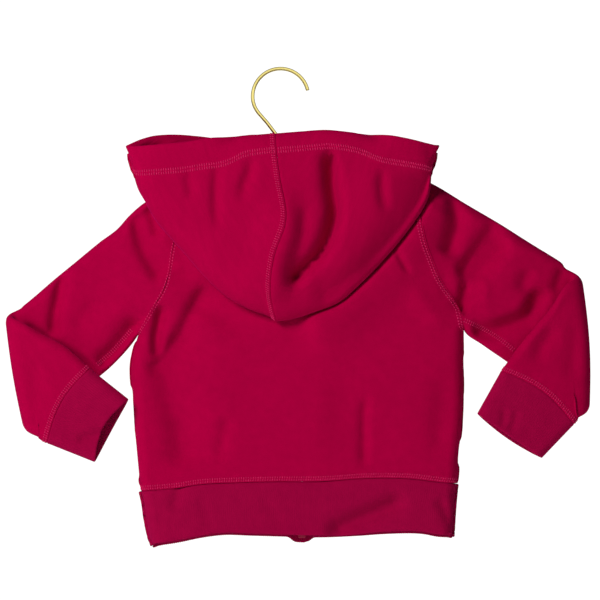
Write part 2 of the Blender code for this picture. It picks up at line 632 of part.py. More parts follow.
def elbow_rows(side):
    """Rings that carry the sleeve round its crease, from the upper arm to the forearm."""
    rows = []
    for turn in ELBOW_TURN:
        angle = math.radians(turn)
        offset = Vector((SIGN[side] * math.sin(angle), math.cos(angle) - 1, 0)) * ELBOW_RADIUS
        section = Section(*(mix(p, q, turn / 180) for p, q in zip(*ELBOW[side])))
        rows.append([point + offset for point in tube_row(side, section, 0.0, turn)])
    return rows


def forearm_row(side, section, shift=0.0):
    """One ring of the forearm, which has turned right round and lies on the hood side."""
    return tube_row(side, section, -2 * ELBOW_RADIUS, 180.0, shift)


def sleeve_rows(side):
    """All rows of a sleeve, from the neck to the cuff seam."""
    rows = cap_rows(side)
    rows += [tube_row(side, section) for section in UPPER_SLEEVE[side]]
    rows += elbow_rows(side)
    rows += [forearm_row(side, section) for section in FOREARM[side]]
    return rows


def cuff_rows(side):
    """Rings of a cuff from its seam to its mouth."""
    seam, mouth = FOREARM[side][-1], CUFF_MOUTH[side]
    rows = []
    for row in range(CUFF_ROWS + 1):
        share = row / CUFF_ROWS
        section = Section(*(mix(p, q, share) for p, q in zip(seam, mouth)))
        rows.append(forearm_row(side, section, SEAM if row == 0 else 0.0))
    return rows


# ---- hood ----

def hood_angles():
    """Angles of the hood's columns: every second one of the fronts and back, each one of a sleeve."""
    columns = PANEL_COLUMNS // 2
    raglan_x = NECK_HALF_WIDTH * math.sin(math.radians(FRONT_RAGLAN_ANGLE))
    angles = [neck_angle(CENTRE_X + mix(ZIP_GAP_HALF, raglan_x, step / columns))
              for step in range(0, columns, 2)]
    for step in range(AROUND, 0, -1):
        angles.append(mix(90, FRONT_RAGLAN_ANGLE, spread(step, AROUND, 1)))
    for step in range(AROUND + 1):
        angles.append(mix(90, BACK_RAGLAN_ANGLE, spread(step, AROUND, 1)))
    back_x = NECK_HALF_WIDTH * math.sin(math.radians(BACK_RAGLAN_ANGLE))
    for step in range(2, columns + 1, 2):
        angles.append(180 - neck_angle(CENTRE_X + mix(back_x, 0, step / columns)))
    return angles


def near_relief(side, x, z):
    """How far the outer layer sinks in at the big soft fold beside the centre seam."""
    if side == LEFT:
        return 0.0
    points = VALLEY_PATH.points(10)
    away = min(distance(x, z, a, b) for a, b in zip(points, points[1:]))
    return VALLEY_DEPTH * math.exp(-(away / VALLEY_WIDTH) ** 2)


def roll_points(side, start, angle):
    """Points from the neck seam up and over to where the hood starts to lie on the back."""
    roll = ROLL_PATH.read(angle)
    lie = Vector((start.x + SIGN[side] * roll.outward, roll.y, start.z + roll.rise))
    up = start + Vector((0, 0, ROLL_UP))
    lean = start.lerp(lie, LEAN_SHARE)
    lean.z = start.z + LEAN_RISE
    over = start.lerp(lie, 0.5)
    over.z = max(start.z, lie.z) + ROLL_CROWN
    return [start, up, lean, over, lie]


def back_section(side, angle):
    """Outer points of the hood at one angle behind the shoulder, neck seam to face edge."""
    g = (angle - 90) / 90
    start = neck(side, angle) + Vector((0, 0, SEAM))
    points = roll_points(side, start, angle)
    lie = points[-1]
    fold = FOLD_PATH[side].at(g)
    edge = EDGE_PATH[side].at(g)
    low = Vector((fold.x, FOLD_Y, fold.z))
    far_end = Vector((fold.x, FAR_Y, fold.z))
    for share in FAR_SHARES:
        point = lie.lerp(far_end, share)
        point.y = mix(lie.y, FAR_Y, smoothstep(share / LIE_SHARE))
        points.append(point)
    back_up = (lie - far_end).normalized()
    points.append(far_end + back_up * FOLD_TURN)
    points.append(low)
    up = Vector((edge.x - fold.x, 0, edge.z - fold.z))
    length = up.length
    hem_share = 1 - min(HEM_DEPTH / length, 0.5)
    first_share = min(FOLD_STEP / length, 0.1)
    shares = [first_share] + [share * hem_share for share in NEAR_SHARES] + [hem_share, 1.0]
    for share in shares:
        point = low + up * share
        seam_pull = SEAM_BY_HEIGHT.read(point.z).x - mix(CENTRE_SEAM[-1].x, CENTRE_SEAM[0].x, share)
        point.x += seam_pull * g ** 3
        point.y = NEAR_PATH.read(share * length).y + near_relief(side, point.x, point.z)
        points.append(point)
    if g > 0.999:
        points = [point + Vector((SIGN[side] * SEAM / 2, 0, 0)) for point in points]
    return points


def front_section(side, angle):
    """Outer points of the hood at one angle before the shoulder, neck seam to face edge."""
    start = neck(side, angle) + Vector((0, 0, SEAM))
    points = roll_points(side, start, angle)
    lie = points[-1]
    rim = RIM_PATH[side].read(angle)
    edge = Vector((rim.x, rim.y, rim.z))
    corner = back_section(side, 90)
    tail = corner[len(points) - 1:]
    lengths = [0.0]
    for first, second in zip(tail, tail[1:]):
        lengths.append(lengths[-1] + (second - first).length)
    even = smoothstep((90 - angle) / EVEN_OVER)
    count = len(tail) - 1
    for step in range(1, count + 1):
        share = mix(lengths[step] / lengths[-1], step / count, even)
        bend = tail[step] - tail[0].lerp(tail[-1], lengths[step] / lengths[-1])
        fade = max(0.0, 1 - (90 - angle) / BEND_FADE)
        points.append(lie.lerp(edge, share) + bend * fade)
    return points


def hood_section(side, angle):
    """Outer points of the hood at one angle round the neck."""
    return back_section(side, angle) if angle >= 90 else front_section(side, angle)


def hood_rows(side):
    """Rows of a hood panel from the neck seam to the face edge, zip to centre back."""
    sections = [hood_section(side, angle) for angle in hood_angles()]
    beside = Vector((SIGN[side] * SEAM_FLAT, 0, 0))
    sections.insert(-1, [point + beside for point in sections[-1]])
    return [list(row) for row in zip(*sections)]


def single_layer(rows):
    """Cells of the hood that lie further than the turned edge from the face edge."""
    cells = set()
    last = len(rows) - 1
    for column in range(len(rows[0])):
        reach = 0.0
        for row in range(last - 1, -1, -1):
            reach += (rows[row + 1][column] - rows[row][column]).length
            if reach > HEM_DEPTH + HEM_STEP:
                cells.add((row, column))
    return cells


# ---- zip ----

def tape_rows(side):
    """Rows of a zip tape, bottom to top, lying inside the front's edge."""
    rows = []
    for row in range(TAPE_ROWS + 1):
        z = mix(TAPE_BOTTOM_Z, TAPE_TOP_Z, row / TAPE_ROWS)
        over_band = z - WAIST_PATH.read(ZIP_BOTTOM_X).z
        cover = mix(RIB, FLEECE, smoothstep(over_band / TAPE_STEP_OVER))
        points = []
        for reach in (TAPE_OUTER, (TAPE_OUTER + TAPE_INNER) / 2, TAPE_INNER):
            x = zip_x(z) + SIGN[side] * reach
            points.append(Vector((x, HALF_DEPTH - cover - SEAM, z)))
        rows.append(points)
    return rows


def box(build, low, high):
    """Add a box between two corners, in millimetres, to a bmesh."""
    centre = (Vector(low) + Vector(high)) / 2
    size = Vector(high) - Vector(low)
    made = bmesh.ops.create_cube(build, size=1.0)["verts"]
    bmesh.ops.scale(build, verts=made, vec=size * MM)
    bmesh.ops.translate(build, verts=made, vec=centre * MM)


def joined_boxes(name, boxes, collection, material, cutters):
    """One solid from overlapping boxes."""
    pieces = []
    for number, (low, high) in enumerate(boxes):
        mesh = bpy.data.meshes.new(f"{name}_{number}")
        build = bmesh.new()
        box(build, low, high)
        build.to_mesh(mesh)
        build.free()
        target = collection if number == 0 else cutters
        pieces.append(linked(name if number == 0 else f"{name}_add_{number}", mesh, target, material))
    for other in pieces[1:]:
        other.hide_render = True
        other.display_type = "WIRE"
        union = pieces[0].modifiers.new("join", "BOOLEAN")
        union.operation = "UNION"
        union.object = other
    return pieces[0]


def slider_sizes():
    """Middle of the slider across the zip, and the y of its plates and of the hinge line."""
    x = zip_x(SLIDER_Z)
    middle_y = HALF_DEPTH - FLEECE - SEAM - TAPE_WALL / 2
    front_in = middle_y + CHANNEL_HALF
    back_in = middle_y - CHANNEL_HALF
    hinge_y = front_in + PLATE + EYE_RADIUS
    return x, middle_y, front_in, back_in, hinge_y


def make_slider(collection, material, cutters):
    """Zip slider: two plates with lips, the post between the tapes and the bridge for the tab."""
    x, middle_y, front_in, back_in, hinge_y = slider_sizes()
    w, half = SLIDER_HALF_WIDTH, SLIDER_LENGTH / 2
    low, high = SLIDER_Z - half, SLIDER_Z + half
    lip_y = TAPE_WALL / 2 + LIP_ROOM
    face_y = front_in + PLATE
    top_y = hinge_y + EYE_RADIUS
    b, bar = BRIDGE_HALF_WIDTH, BRIDGE_BAR / 2
    boxes = [((x - w, front_in, low), (x + w, face_y, high)),
             ((x - w, back_in - PLATE, low), (x + w, back_in, high)),
             ((x - POST_HALF_WIDTH, back_in - JOIN, high - POST_INSET - POST_LENGTH),
              (x + POST_HALF_WIDTH, front_in + JOIN, high - POST_INSET))]
    for side in (-1, 1):
        inner, outer = sorted((x + side * (w - LIP), x + side * w))
        boxes.append(((inner, middle_y + lip_y, low + INSET), (outer, front_in + JOIN, high - INSET)))
        boxes.append(((inner, back_in - JOIN, low + INSET), (outer, middle_y - lip_y, high - INSET)))
        leg = SLIDER_Z + side * BRIDGE_REACH
        boxes.append(((x - b, face_y - JOIN, leg - bar), (x + b, top_y + bar, leg + bar)))
    b -= BRIDGE_INSET
    boxes.append(((x - b, top_y, SLIDER_Z - BRIDGE_REACH),
                  (x + b, top_y + 2 * bar, SLIDER_Z + BRIDGE_REACH)))
    return joined_boxes("zip_slider", boxes, collection, material, cutters)


def make_pull_tab(collection, material):
    """Pull tab: a flat tongue with an eye whose upper bar lies under the slider's bridge."""
    x, _, _, _, hinge_y = slider_sizes()
    bar = TAB_THICK / 2
    curve = bpy.data.curves.new("zip_pull", "CURVE")
    curve.dimensions = "2D"
    curve.fill_mode = "BOTH"
    curve.extrude = bar * MM
    half = TAB_WIDTH / 2
    outer = [(half - TAB_CORNER, bar), (half, bar - TAB_CORNER), (half - TAB_WAIST, -TAB_WAIST_DROP),
             (half, -TAB_FOOT_DROP)]
    for degrees in range(0, 91, TAB_END_STEP):
        turn = math.radians(degrees)
        outer.append((half * math.cos(turn), half - TAB_LENGTH - half * math.sin(turn)))
    outer += [(-px, pz) for px, pz in reversed(outer[:-1])]
    eye = [(TAB_EYE_HALF_WIDTH, -bar), (-TAB_EYE_HALF_WIDTH, -bar),
           (-TAB_EYE_HALF_WIDTH, -TAB_EYE_LENGTH), (TAB_EYE_HALF_WIDTH, -TAB_EYE_LENGTH)]
    for ring in (outer, eye):
        spline = curve.splines.new("POLY")
        spline.points.add(len(ring) - 1)
        for point, (px, pz) in zip(spline.points, ring):
            point.co = (px * MM, pz * MM, 0, 1)
        spline.use_cyclic_u = True
    piece = bpy.data.objects.new("zip_pull", curve)
    collection.objects.link(piece)
    piece.data.materials.append(material)
    piece.location = Vector((x, hinge_y, SLIDER_Z)) * MM
    piece.rotation_euler = (math.radians(90), 0, 0)
    return piece


def make_retainer(collection, material):
    """Box at the foot of the zip that takes the pin."""
    _, middle_y, _, _, _ = slider_sizes()
    top = TAPE_BOTTOM_Z - SEAM
    x = zip_x(top)
    mesh = bpy.data.meshes.new("zip_retainer")
    build = bmesh.new()
    middle_y -= RIB - FLEECE
    box(build, (x - RETAINER_WIDTH / 2, middle_y - RETAINER_DEPTH / 2, top - RETAINER_HEIGHT),
        (x + RETAINER_WIDTH / 2, middle_y + RETAINER_DEPTH / 2, top))
    build.to_mesh(mesh)
    build.free()
    piece = linked("zip_retainer", mesh, collection, material)
    bevel = piece.modifiers.new("round", "BEVEL")
    bevel.width = RETAINER_ROUND * MM
    bevel.segments = 2
    return piece


# ---- hanger ----

def wire(name, route, radius, collection, material):
    """A round wire along a route, with closed ends."""
    curve = bpy.data.curves.new(name, "CURVE")
    curve.dimensions = "3D"
    curve.bevel_depth = radius * MM
    curve.bevel_resolution = 2
    curve.use_fill_caps = True
    spline = curve.splines.new("POLY")
    spline.points.add(len(route) - 1)
    for point, place in zip(spline.points, route):
        point.co = (place[0] * MM, place[1] * MM, place[2] * MM, 1)
    piece = bpy.data.objects.new(name, curve)
    collection.objects.link(piece)
    piece.data.materials.append(material)
    return piece


def hook_route():
    """The open ring from its tip over the top, then the slanting shank down to the arms."""
    route = []
    for step in range(RING_STEPS + 1):
        turn = math.radians(mix(RING_FROM, RING_TO, step / RING_STEPS))
        route.append((RING_X + RING_RADIUS * math.cos(turn), 0, RING_Z + RING_RADIUS * math.sin(turn)))
    return route + [tuple(place) for place in SHANK]


# ---- colours ----

def material(name, colour, roughness, metallic=0.0):
    """A plain Principled BSDF."""
    made = bpy.data.materials.new(name)
    made.use_nodes = True
    shader = made.node_tree.nodes["Principled BSDF"]
    shader.inputs["Base Color"].default_value = (*colour, 1)
    shader.inputs["Roughness"].default_value = roughness
    shader.inputs["Metallic"].default_value = metallic
    return made


def main():
    """Clear the scene and build every piece."""
    for old in list(bpy.data.objects):
        bpy.data.objects.remove(old)
    garment = bpy.data.collections.new("hoodie")
    cutters = bpy.data.collections.new("cutters")
    for collection in (garment, cutters):
        bpy.context.scene.collection.children.link(collection)
    fleece = material("body_cloth", (0.42, 0.005, 0.05), 0.9)
    rib = material("rib_cloth", (0.38, 0.005, 0.045), 0.9)
    tape = material("zip_tape", (0.36, 0.005, 0.045), 0.8)
    steel = material("zip_metal", (0.55, 0.54, 0.52), 0.35, 1.0)
    brass = material("brass_wire", (0.72, 0.55, 0.24), 0.3, 1.0)

    wall("back_panel", back_rows(), FLEECE, garment, fleece)
    wall("waistband", band_rows(), RIB, garment, rib)
    for side in (LEFT, RIGHT):
        mirrored = side == RIGHT
        wall(f"front_panel_{side}", front_rows(side), FLEECE, garment, fleece, flip=not mirrored)
        wall(f"sleeve_{side}", sleeve_rows(side), FLEECE, garment, fleece, flip=mirrored,
             closed_from=CAP_ROWS)
        wall(f"cuff_{side}", cuff_rows(side), RIB, garment, rib, flip=mirrored, closed_from=0)
        rows = hood_rows(side)
        wall(f"hood_{side}", rows, HEM, garment, fleece, flip=mirrored, thin=single_layer(rows))
        wall(f"zip_tape_{side}", tape_rows(side), TAPE_WALL, garment, tape, flip=not mirrored)
    make_slider(garment, steel, cutters)
    make_pull_tab(garment, steel)
    make_retainer(garment, steel)
    wire("hanger_hook", hook_route(), WIRE_RADIUS, garment, brass)
    wire("hanger_arms", ARMS, WIRE_RADIUS, garment, brass)


main()
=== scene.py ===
"""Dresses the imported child's hoodie: knitted cloth, ribs, coverstitching, the zip and the brass hanger.

Tables and methods hold millimetres in the frame's own axes, and a mesh is made in metres.  +Z is up,
the back of the garment and its hanging hood face -Y, the zip faces +Y, the wearer's left is -X.
Every piece of cloth is a grid of outer points worked out from the garment's cut lines, with its folds
added along the cloth's own outward direction, and is then given its wall and its rounded edges.
"""

import json
import logging
import math
from contextlib import contextmanager
from dataclasses import dataclass
from enum import Enum
from typing import Iterable, Iterator, NamedTuple, Sequence

import bmesh
import bpy
import numpy as np
from bpy.types import Material, Mesh, Object
from bpy.types import NodeSocket as Socket
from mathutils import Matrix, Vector
from mathutils.bvhtree import BVHTree

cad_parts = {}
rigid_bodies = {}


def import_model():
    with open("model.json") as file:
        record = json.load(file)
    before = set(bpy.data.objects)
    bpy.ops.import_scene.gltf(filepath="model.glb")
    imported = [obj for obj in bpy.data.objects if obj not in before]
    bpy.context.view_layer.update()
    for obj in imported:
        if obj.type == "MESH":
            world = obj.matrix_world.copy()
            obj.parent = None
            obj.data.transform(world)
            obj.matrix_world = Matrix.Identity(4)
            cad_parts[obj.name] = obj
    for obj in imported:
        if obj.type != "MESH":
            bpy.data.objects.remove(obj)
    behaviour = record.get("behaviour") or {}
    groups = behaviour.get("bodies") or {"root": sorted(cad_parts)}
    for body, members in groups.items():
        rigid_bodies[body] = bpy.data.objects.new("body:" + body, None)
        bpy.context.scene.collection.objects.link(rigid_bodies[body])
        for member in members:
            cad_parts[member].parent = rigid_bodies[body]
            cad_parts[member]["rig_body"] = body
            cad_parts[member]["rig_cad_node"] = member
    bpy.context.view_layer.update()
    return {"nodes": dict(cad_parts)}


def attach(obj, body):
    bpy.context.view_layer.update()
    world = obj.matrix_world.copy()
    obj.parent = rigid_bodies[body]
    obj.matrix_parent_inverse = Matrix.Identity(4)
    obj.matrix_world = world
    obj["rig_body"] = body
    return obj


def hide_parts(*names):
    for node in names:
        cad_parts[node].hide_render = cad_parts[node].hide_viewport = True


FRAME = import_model()
LOG = logging.getLogger("hoodie")
MM = 0.001
GARMENT, PULL_TAB = "garment", "pull_tab"
Value = float | np.ndarray
Colour = tuple[float, float, float]


class Side(Enum):
    """The wearer's side, as the sign of its x."""

    LEFT = -1
    RIGHT = 1

    @property
    def label(self) -> str:
        """The side's word in piece names."""
        return self.name.lower()


class Face(Enum):
    """The way that a layer of cloth looks, as the sign of its y."""

    BACK = -1
    FRONT = 1


class Spot(NamedTuple):
    """A place on the flat garment."""

    x: float
    z: float


class Cross(NamedTuple):
    """A line across a flattened sleeve, its half depth and how far each layer bows along the sleeve."""

    top_x: float
    top_z: float
    end_x: float
    end_z: float
    half: float
    bow_back: float
    bow_front: float


class Roll(NamedTuple):
    """How the hood rolls over at one angle round the neck."""

    angle: float
    outward: float
    y: float
    rise: float


class Rim(NamedTuple):
    """A point of the hood's face edge in front of the shoulder."""

    angle: float
    x: float
    y: float
    z: float


class Layer(NamedTuple):
    """The depth of the hood's outer layer at a distance above its bottom fold."""

    reach: float
    y: float


class Fold(NamedTuple):
    """A ridge, or a trough if its height is negative, with its widths to the left and right of its run."""

    height: float
    left: float
    right: float
    path: tuple[tuple[float, float], ...]
    fade: float = 0.3


def route(*pairs: tuple[float, float]) -> list[Spot]:
    """Places from pairs of x and z."""
    return [Spot(*pair) for pair in pairs]


# ---- the cut, as in the solids ----

SEAM = 0.3
FLEECE, RIB, HEM, HEM_DEPTH = 1.6, 2.6, 2.6, 25.0
SIDE_PART, CAP_PART = 7.0, 9.0
HALF_DEPTH, SLEEVE_HALF_DEPTH = 13.0, 9.0
SLIM_FROM, SLIM_OVER, EDGE_ROUND, SLEEVE_ROUND = 110.0, 100.0, 11.0, 9.0
CENTRE_X, NECK_HALF_WIDTH, NECK_SIDE_Z = 18.7, 62.0, -88.0
NECK_BACK_DROP, NECK_FRONT_DROP = 14.0, 57.0
NECK_BACK_POWER, NECK_FRONT_POWER, NECK_FADE = 1.5, 1.6, 0.4
RAGLAN_ANGLE = {Face.BACK: 140.0, Face.FRONT: 42.0}
ZIP_GAP_HALF, ZIP_BOTTOM_X, ZIP_BOTTOM_Z = 5.0, 21.7, -470.0
TAPE_INNER, TAPE_OUTER, TAPE_WALL = 1.3, 14.0, 0.9
TAPE_TOP_Z, TAPE_BOTTOM_Z, TAPE_STEP_OVER = -147.0, -459.5, 30.0
SLIDER_Z = -154.0
UNDERARM_CLOSE, UNDERARM_FROM, UNDERARM_OVER = 0.8, 0.86, 0.14
CLEAR, NECK_PULL_POWER, TRIM_LIMIT = 0.85, 3, 0.6
RIB_PITCH, RIB_HEIGHT, RIB_FADE = 2.1, 0.1, 0.12

SHOULDER = {
    Side.LEFT: route((-43.3, -88), (-90, -107.5), (-134.7, -131.5), (-150.8, -145), (-163.5, -159),
                     (-180.3, -171.5), (-204, -191)),
    Side.RIGHT: route((80.7, -88), (115, -98.5), (150.5, -112.5), (185.7, -133.5), (219.7, -153.5),
                      (241, -167)),
}
RAGLAN = {
    (Face.BACK, Side.LEFT): route((-21.2, -97.4), (-58, -113), (-84, -133), (-100, -155), (-106.6, -176),
                                  (-110.8, -201), (-114.7, -216.5), (-126.3, -237.5), (-142.3, -265)),
    (Face.BACK, Side.RIGHT): route((58.6, -97.4), (95, -106), (120, -118), (136, -134), (141, -152),
                                   (145.7, -173), (152.7, -191.5), (160.7, -210.5), (173, -229),
                                   (181, -245), (183.2, -259.5)),
    (Face.FRONT, Side.LEFT): route((-22.8, -123.5), (-52, -140), (-78, -163), (-98, -190), (-116, -218),
                                   (-131, -243), (-142.3, -265)),
    (Face.FRONT, Side.RIGHT): route((60.2, -123.5), (92, -136), (118, -155), (138, -180), (155, -206),
                                    (171, -232), (183.2, -259.5)),
}
SIDE_SEAM = {
    Side.LEFT: route((-139.3, -420.5), (-140.5, -409), (-144.5, -363.5), (-147.5, -324.5), (-149.3, -301.5),
                     (-148, -286.5), (-142.3, -265)),
    Side.RIGHT: route((175.9, -413), (177.4, -405), (178, -385), (180.9, -356.5), (182.5, -322.5),
                      (183, -285), (183.2, -259.5)),
}
BAND_SIDE = {
    Side.LEFT: route((-139.3, -420.5), (-136.5, -432), (-134.5, -447), (-130.5, -466), (-127.5, -474)),
    Side.RIGHT: route((175.9, -413), (174.6, -424), (173.7, -434), (172.6, -452), (171.9, -464.5)),
}
WAIST = route((-139.3, -420.5), (-108.3, -418), (-77.3, -413.5), (-41.3, -411.9), (0, -411), (40, -410.6),
              (88.7, -407.7), (127.7, -407.9), (160, -411.6), (175.9, -413))
HEM_LINE = route((-127.5, -474), (-101.8, -470.1), (-77.3, -465.2), (-54.3, -462.6), (-29.3, -463.4),
                 (8.7, -464.6), (39.7, -465.4), (75.7, -463.9), (101.7, -462), (127.7, -461.1),
                 (142.7, -461.8), (158.7, -464.6), (171.9, -464.5))
BACK_HEM_RISE, FRONT_HEM_DROP, ZIP_END_DROP, ZIP_END_REACH, ZIP_END_OFF = 1.0, 2.0, 5.4, 8.2, -1.0
ZIP_END_CLOSE, ZIP_END_CLOSE_OVER, ZIP_END_SPREAD = 4.2, 7.0, 0.25
ZIP_END_FROM, ZIP_END_EASE = 0.84, 0.12
BAND_FRONT_STEPS, BAND_BACK_STEPS = 400, 800

UPPER_SLEEVE = {
    Side.LEFT: [Cross(-226, -209, -166, -293, 8.5, 0, 0), Cross(-245, -225.5, -193, -316, 7.4, 0, 0),
                Cross(-256, -234.5, -221, -340, 6, 0, 0)],
    Side.RIGHT: [Cross(257, -177, 203, -275, 8.5, 0, 0), Cross(271, -185.5, 229, -293, 7.2, 0, 0),
                 Cross(281.5, -192.5, 262, -318, 6, 1, 1)],
}
ELBOW = {
    Side.LEFT: (Cross(-263, -239.8, -242, -355.5, 5.2, 2, 2), Cross(-261, -250, -243, -365.5, 5.4, 2, 2)),
    Side.RIGHT: (Cross(288, -199.5, 293, -336, 5.2, 4, 4), Cross(288, -212, 298, -346.5, 5.4, 4, 4)),
}
ELBOW_RADIUS, ELBOW_STEPS, CAP_KEY, CUFF_SEAM_OVER = 8.0, 25, -6, 0.1
FOREARM = {
    Side.LEFT: [Cross(-241, -262, -241.2, -367.4, 6, 2, 2), Cross(-215.5, -275.5, -238, -369.8, 6.8, 4, 4),
                Cross(-190.3, -297.5, -233.3, -372, 7.6, 8, 8)],
    Side.RIGHT: [Cross(268, -240, 297.3, -348, 6, 4, 4), Cross(243.5, -269, 296, -350, 6.8, 6, 6),
                 Cross(220.7, -299.5, 293.5, -353, 7.6, 8, 8)],
}
CUFF_MOUTH = {
    Side.LEFT: Cross(-151, -328.8, -184.8, -391.3, 8.6, 0.5, 9),
    Side.RIGHT: Cross(196.2, -343.2, 260.5, -387.5, 8.6, -3, 0),
}

ROLLS = [Roll(3, 0.5, 14.6, 12), Roll(20, 1, 15, 13), Roll(38, 4, 15.2, 15), Roll(52, 9, 14.5, 17),
         Roll(66, 15, 10.5, 16), Roll(76, 19, 4, 14), Roll(84, 21.5, -5, 11), Roll(90, 21, -12, 8.5),
         Roll(100, 16, -16, 7), Roll(118, 8, -17.4, 6), Roll(140, 3, -17.6, 6), Roll(180, 0, -17.6, 6)]
ROLL_UP, LEAN_SHARE, LEAN_RISE, ROLL_CROWN = 5.0, 0.12, 8.5, 4.5
HOOD_FOLD = {
    Side.LEFT: route((-150.4, -86), (-147.6, -98.5), (-142, -118.5), (-134.7, -131.5), (-124.3, -150.5),
                     (-107.3, -170.2), (-96.3, -182.5), (-75.3, -206.5), (-58.3, -222.5), (-40.3, -234.5),
                     (-23.3, -241.8), (-11.9, -245.5), (-3.5, -251)),
    Side.RIGHT: route((154.6, -85), (152.8, -94), (150.8, -104), (150, -114.5), (147.5, -128),
                      (138.7, -144.5), (118.7, -171.5), (97.7, -195.5), (78.3, -215.1), (58.7, -231.9),
                      (34.7, -241.5), (13.7, -248.3), (-3.5, -251)),
}
FACE_EDGE = {
    Side.LEFT: route((-154.3, -76.9), (-120, -74.5), (-89.3, -71.5), (-73.7, -68.6), (-40, -65.8),
                     (-4.8, -63.5)),
    Side.RIGHT: route((159, -76.2), (125.7, -68.5), (103.7, -64.8), (83.7, -64.3), (62.7, -61.5),
                      (44.7, -60), (20.7, -61.5), (-4.8, -63.5)),
}
FACE_EDGE_FRONT = {
    Side.LEFT: [Rim(3, 3, 15.5, -119), Rim(20, -14, 15.5, -99), Rim(38, -38, 13.5, -80),
                Rim(52, -62, 8, -69.5), Rim(66, -92, 0, -66), Rim(76, -116, -9, -66.2),
                Rim(84, -137, -19, -69.8), Rim(90, -154.3, -28.5, -76.9)],
    Side.RIGHT: [Rim(3, 35, 15.5, -123), Rim(20, 50, 15.5, -110), Rim(38, 68, 15, -97),
                 Rim(52, 88, 13, -87.5), Rim(66, 108, 3, -82), Rim(76, 128, -9, -79),
                 Rim(84, 145, -19.5, -77), Rim(90, 159, -28.5, -76.2)],
}
FAR_Y, FOLD_Y = -17.6, -21.6
NEAR_DEPTH = [Layer(0, FOLD_Y), Layer(3, -26.6), Layer(7, -30), Layer(14, -33.4), Layer(30, -36.8),
              Layer(60, -38.8), Layer(110, -39.8), Layer(200, -40)]
FAR_SHARES = (0.22, 0.5, 0.78)
NEAR_SHARES = (0.14, 0.34, 0.56, 0.78)
LIE_SHARE, FOLD_TURN, FOLD_STEP, BEND_FADE, EVEN_OVER, EVEN_SHARE = 0.5, 4.0, 3.0, 8.0, 60.0, 0.7
FOLD_STEP_LIMIT, SEAM_PULL_POWER = 0.1, 3
HOOD_FOLDS_FROM, HOOD_FOLDS_OVER, HEM_HOLD, HEM_MARGIN, SEAM_TAPER = 2.0, 10.0, 14.0, 3.0, 0.4
CENTRE_SEAM = route((-4.8, -63.5), (-1.7, -97.5), (4.7, -136), (5.5, -159), (-6.7, -189.5), (-9.3, -228),
                    (-3.5, -251))

# ---- folds ----

HOOD_LEDGE = Fold(5.0, 26, 6, ((156, -116), (153, -130.5), (143.7, -148), (123.5, -175), (102.3, -199.5),
                  (82.3, -219.6), (62, -237), (36.7, -247.2), (15, -254)), 0.12)
BODY_FOLDS = {
    Face.BACK: [
        HOOD_LEDGE,
        Fold(-7.5, 12, 7, ((-69, -213), (-82, -230), (-93, -251), (-104, -274), (-119, -292), (-137, -303)),
             0.15),
        Fold(-5.0, 34, 26, ((-52, -200), (-62, -226), (-78, -254)), 0.3),
        Fold(-9.0, 6, 5, ((-118, -232), (-121, -250), (-124, -268), (-123, -290)), 0.2),
        Fold(-8.5, 26, 15, ((-97, -254), (-102, -280), (-108, -306), (-110, -326), (-99, -354),
             (-96, -404)), 0.15),
        Fold(-3.2, 8, 7, ((-62, -396), (-56, -366), (-50, -340))),
        Fold(-4.0, 4, 5, ((86, -322), (84, -352), (84, -400)), 0.2),
        Fold(1.4, 14, 12, ((40, -300), (42, -340), (38, -392))),
        Fold(-3.0, 3.5, 3.5, ((113, -176), (120, -188), (130, -205))),
        Fold(2.4, 10, 10, ((168, -262), (148, -238), (128, -214))),
        Fold(-2.4, 7, 9, ((162, -200), (166, -214), (172, -230))),
        Fold(-2.0, 12, 9, ((160, -300), (160, -340), (156, -396))),
    ],
    Face.FRONT: [
        Fold(2.2, 10, 10, ((-124, -280), (-105, -258), (-86, -236))),
        Fold(-3.4, 7, 7, ((-130, -304), (-106, -282), (-84, -252))),
        Fold(-2.6, 6, 8, ((-118, -232), (-122, -256), (-126, -286))),
        Fold(2.4, 10, 10, ((160, -272), (141, -249), (122, -226))),
        Fold(-3.2, 7, 8, ((168, -300), (146, -276), (120, -250))),
        Fold(-1.9, 9, 7, ((-70, -300), (-66, -350), (-72, -400))),
        Fold(-2.1, 8, 10, ((112, -320), (108, -360), (114, -402))),
        Fold(1.4, 10, 10, ((60, -190), (52, -240), (56, -300))),
        Fold(-1.6, 9, 9, ((-30, -210), (-36, -250), (-28, -300))),
    ],
}
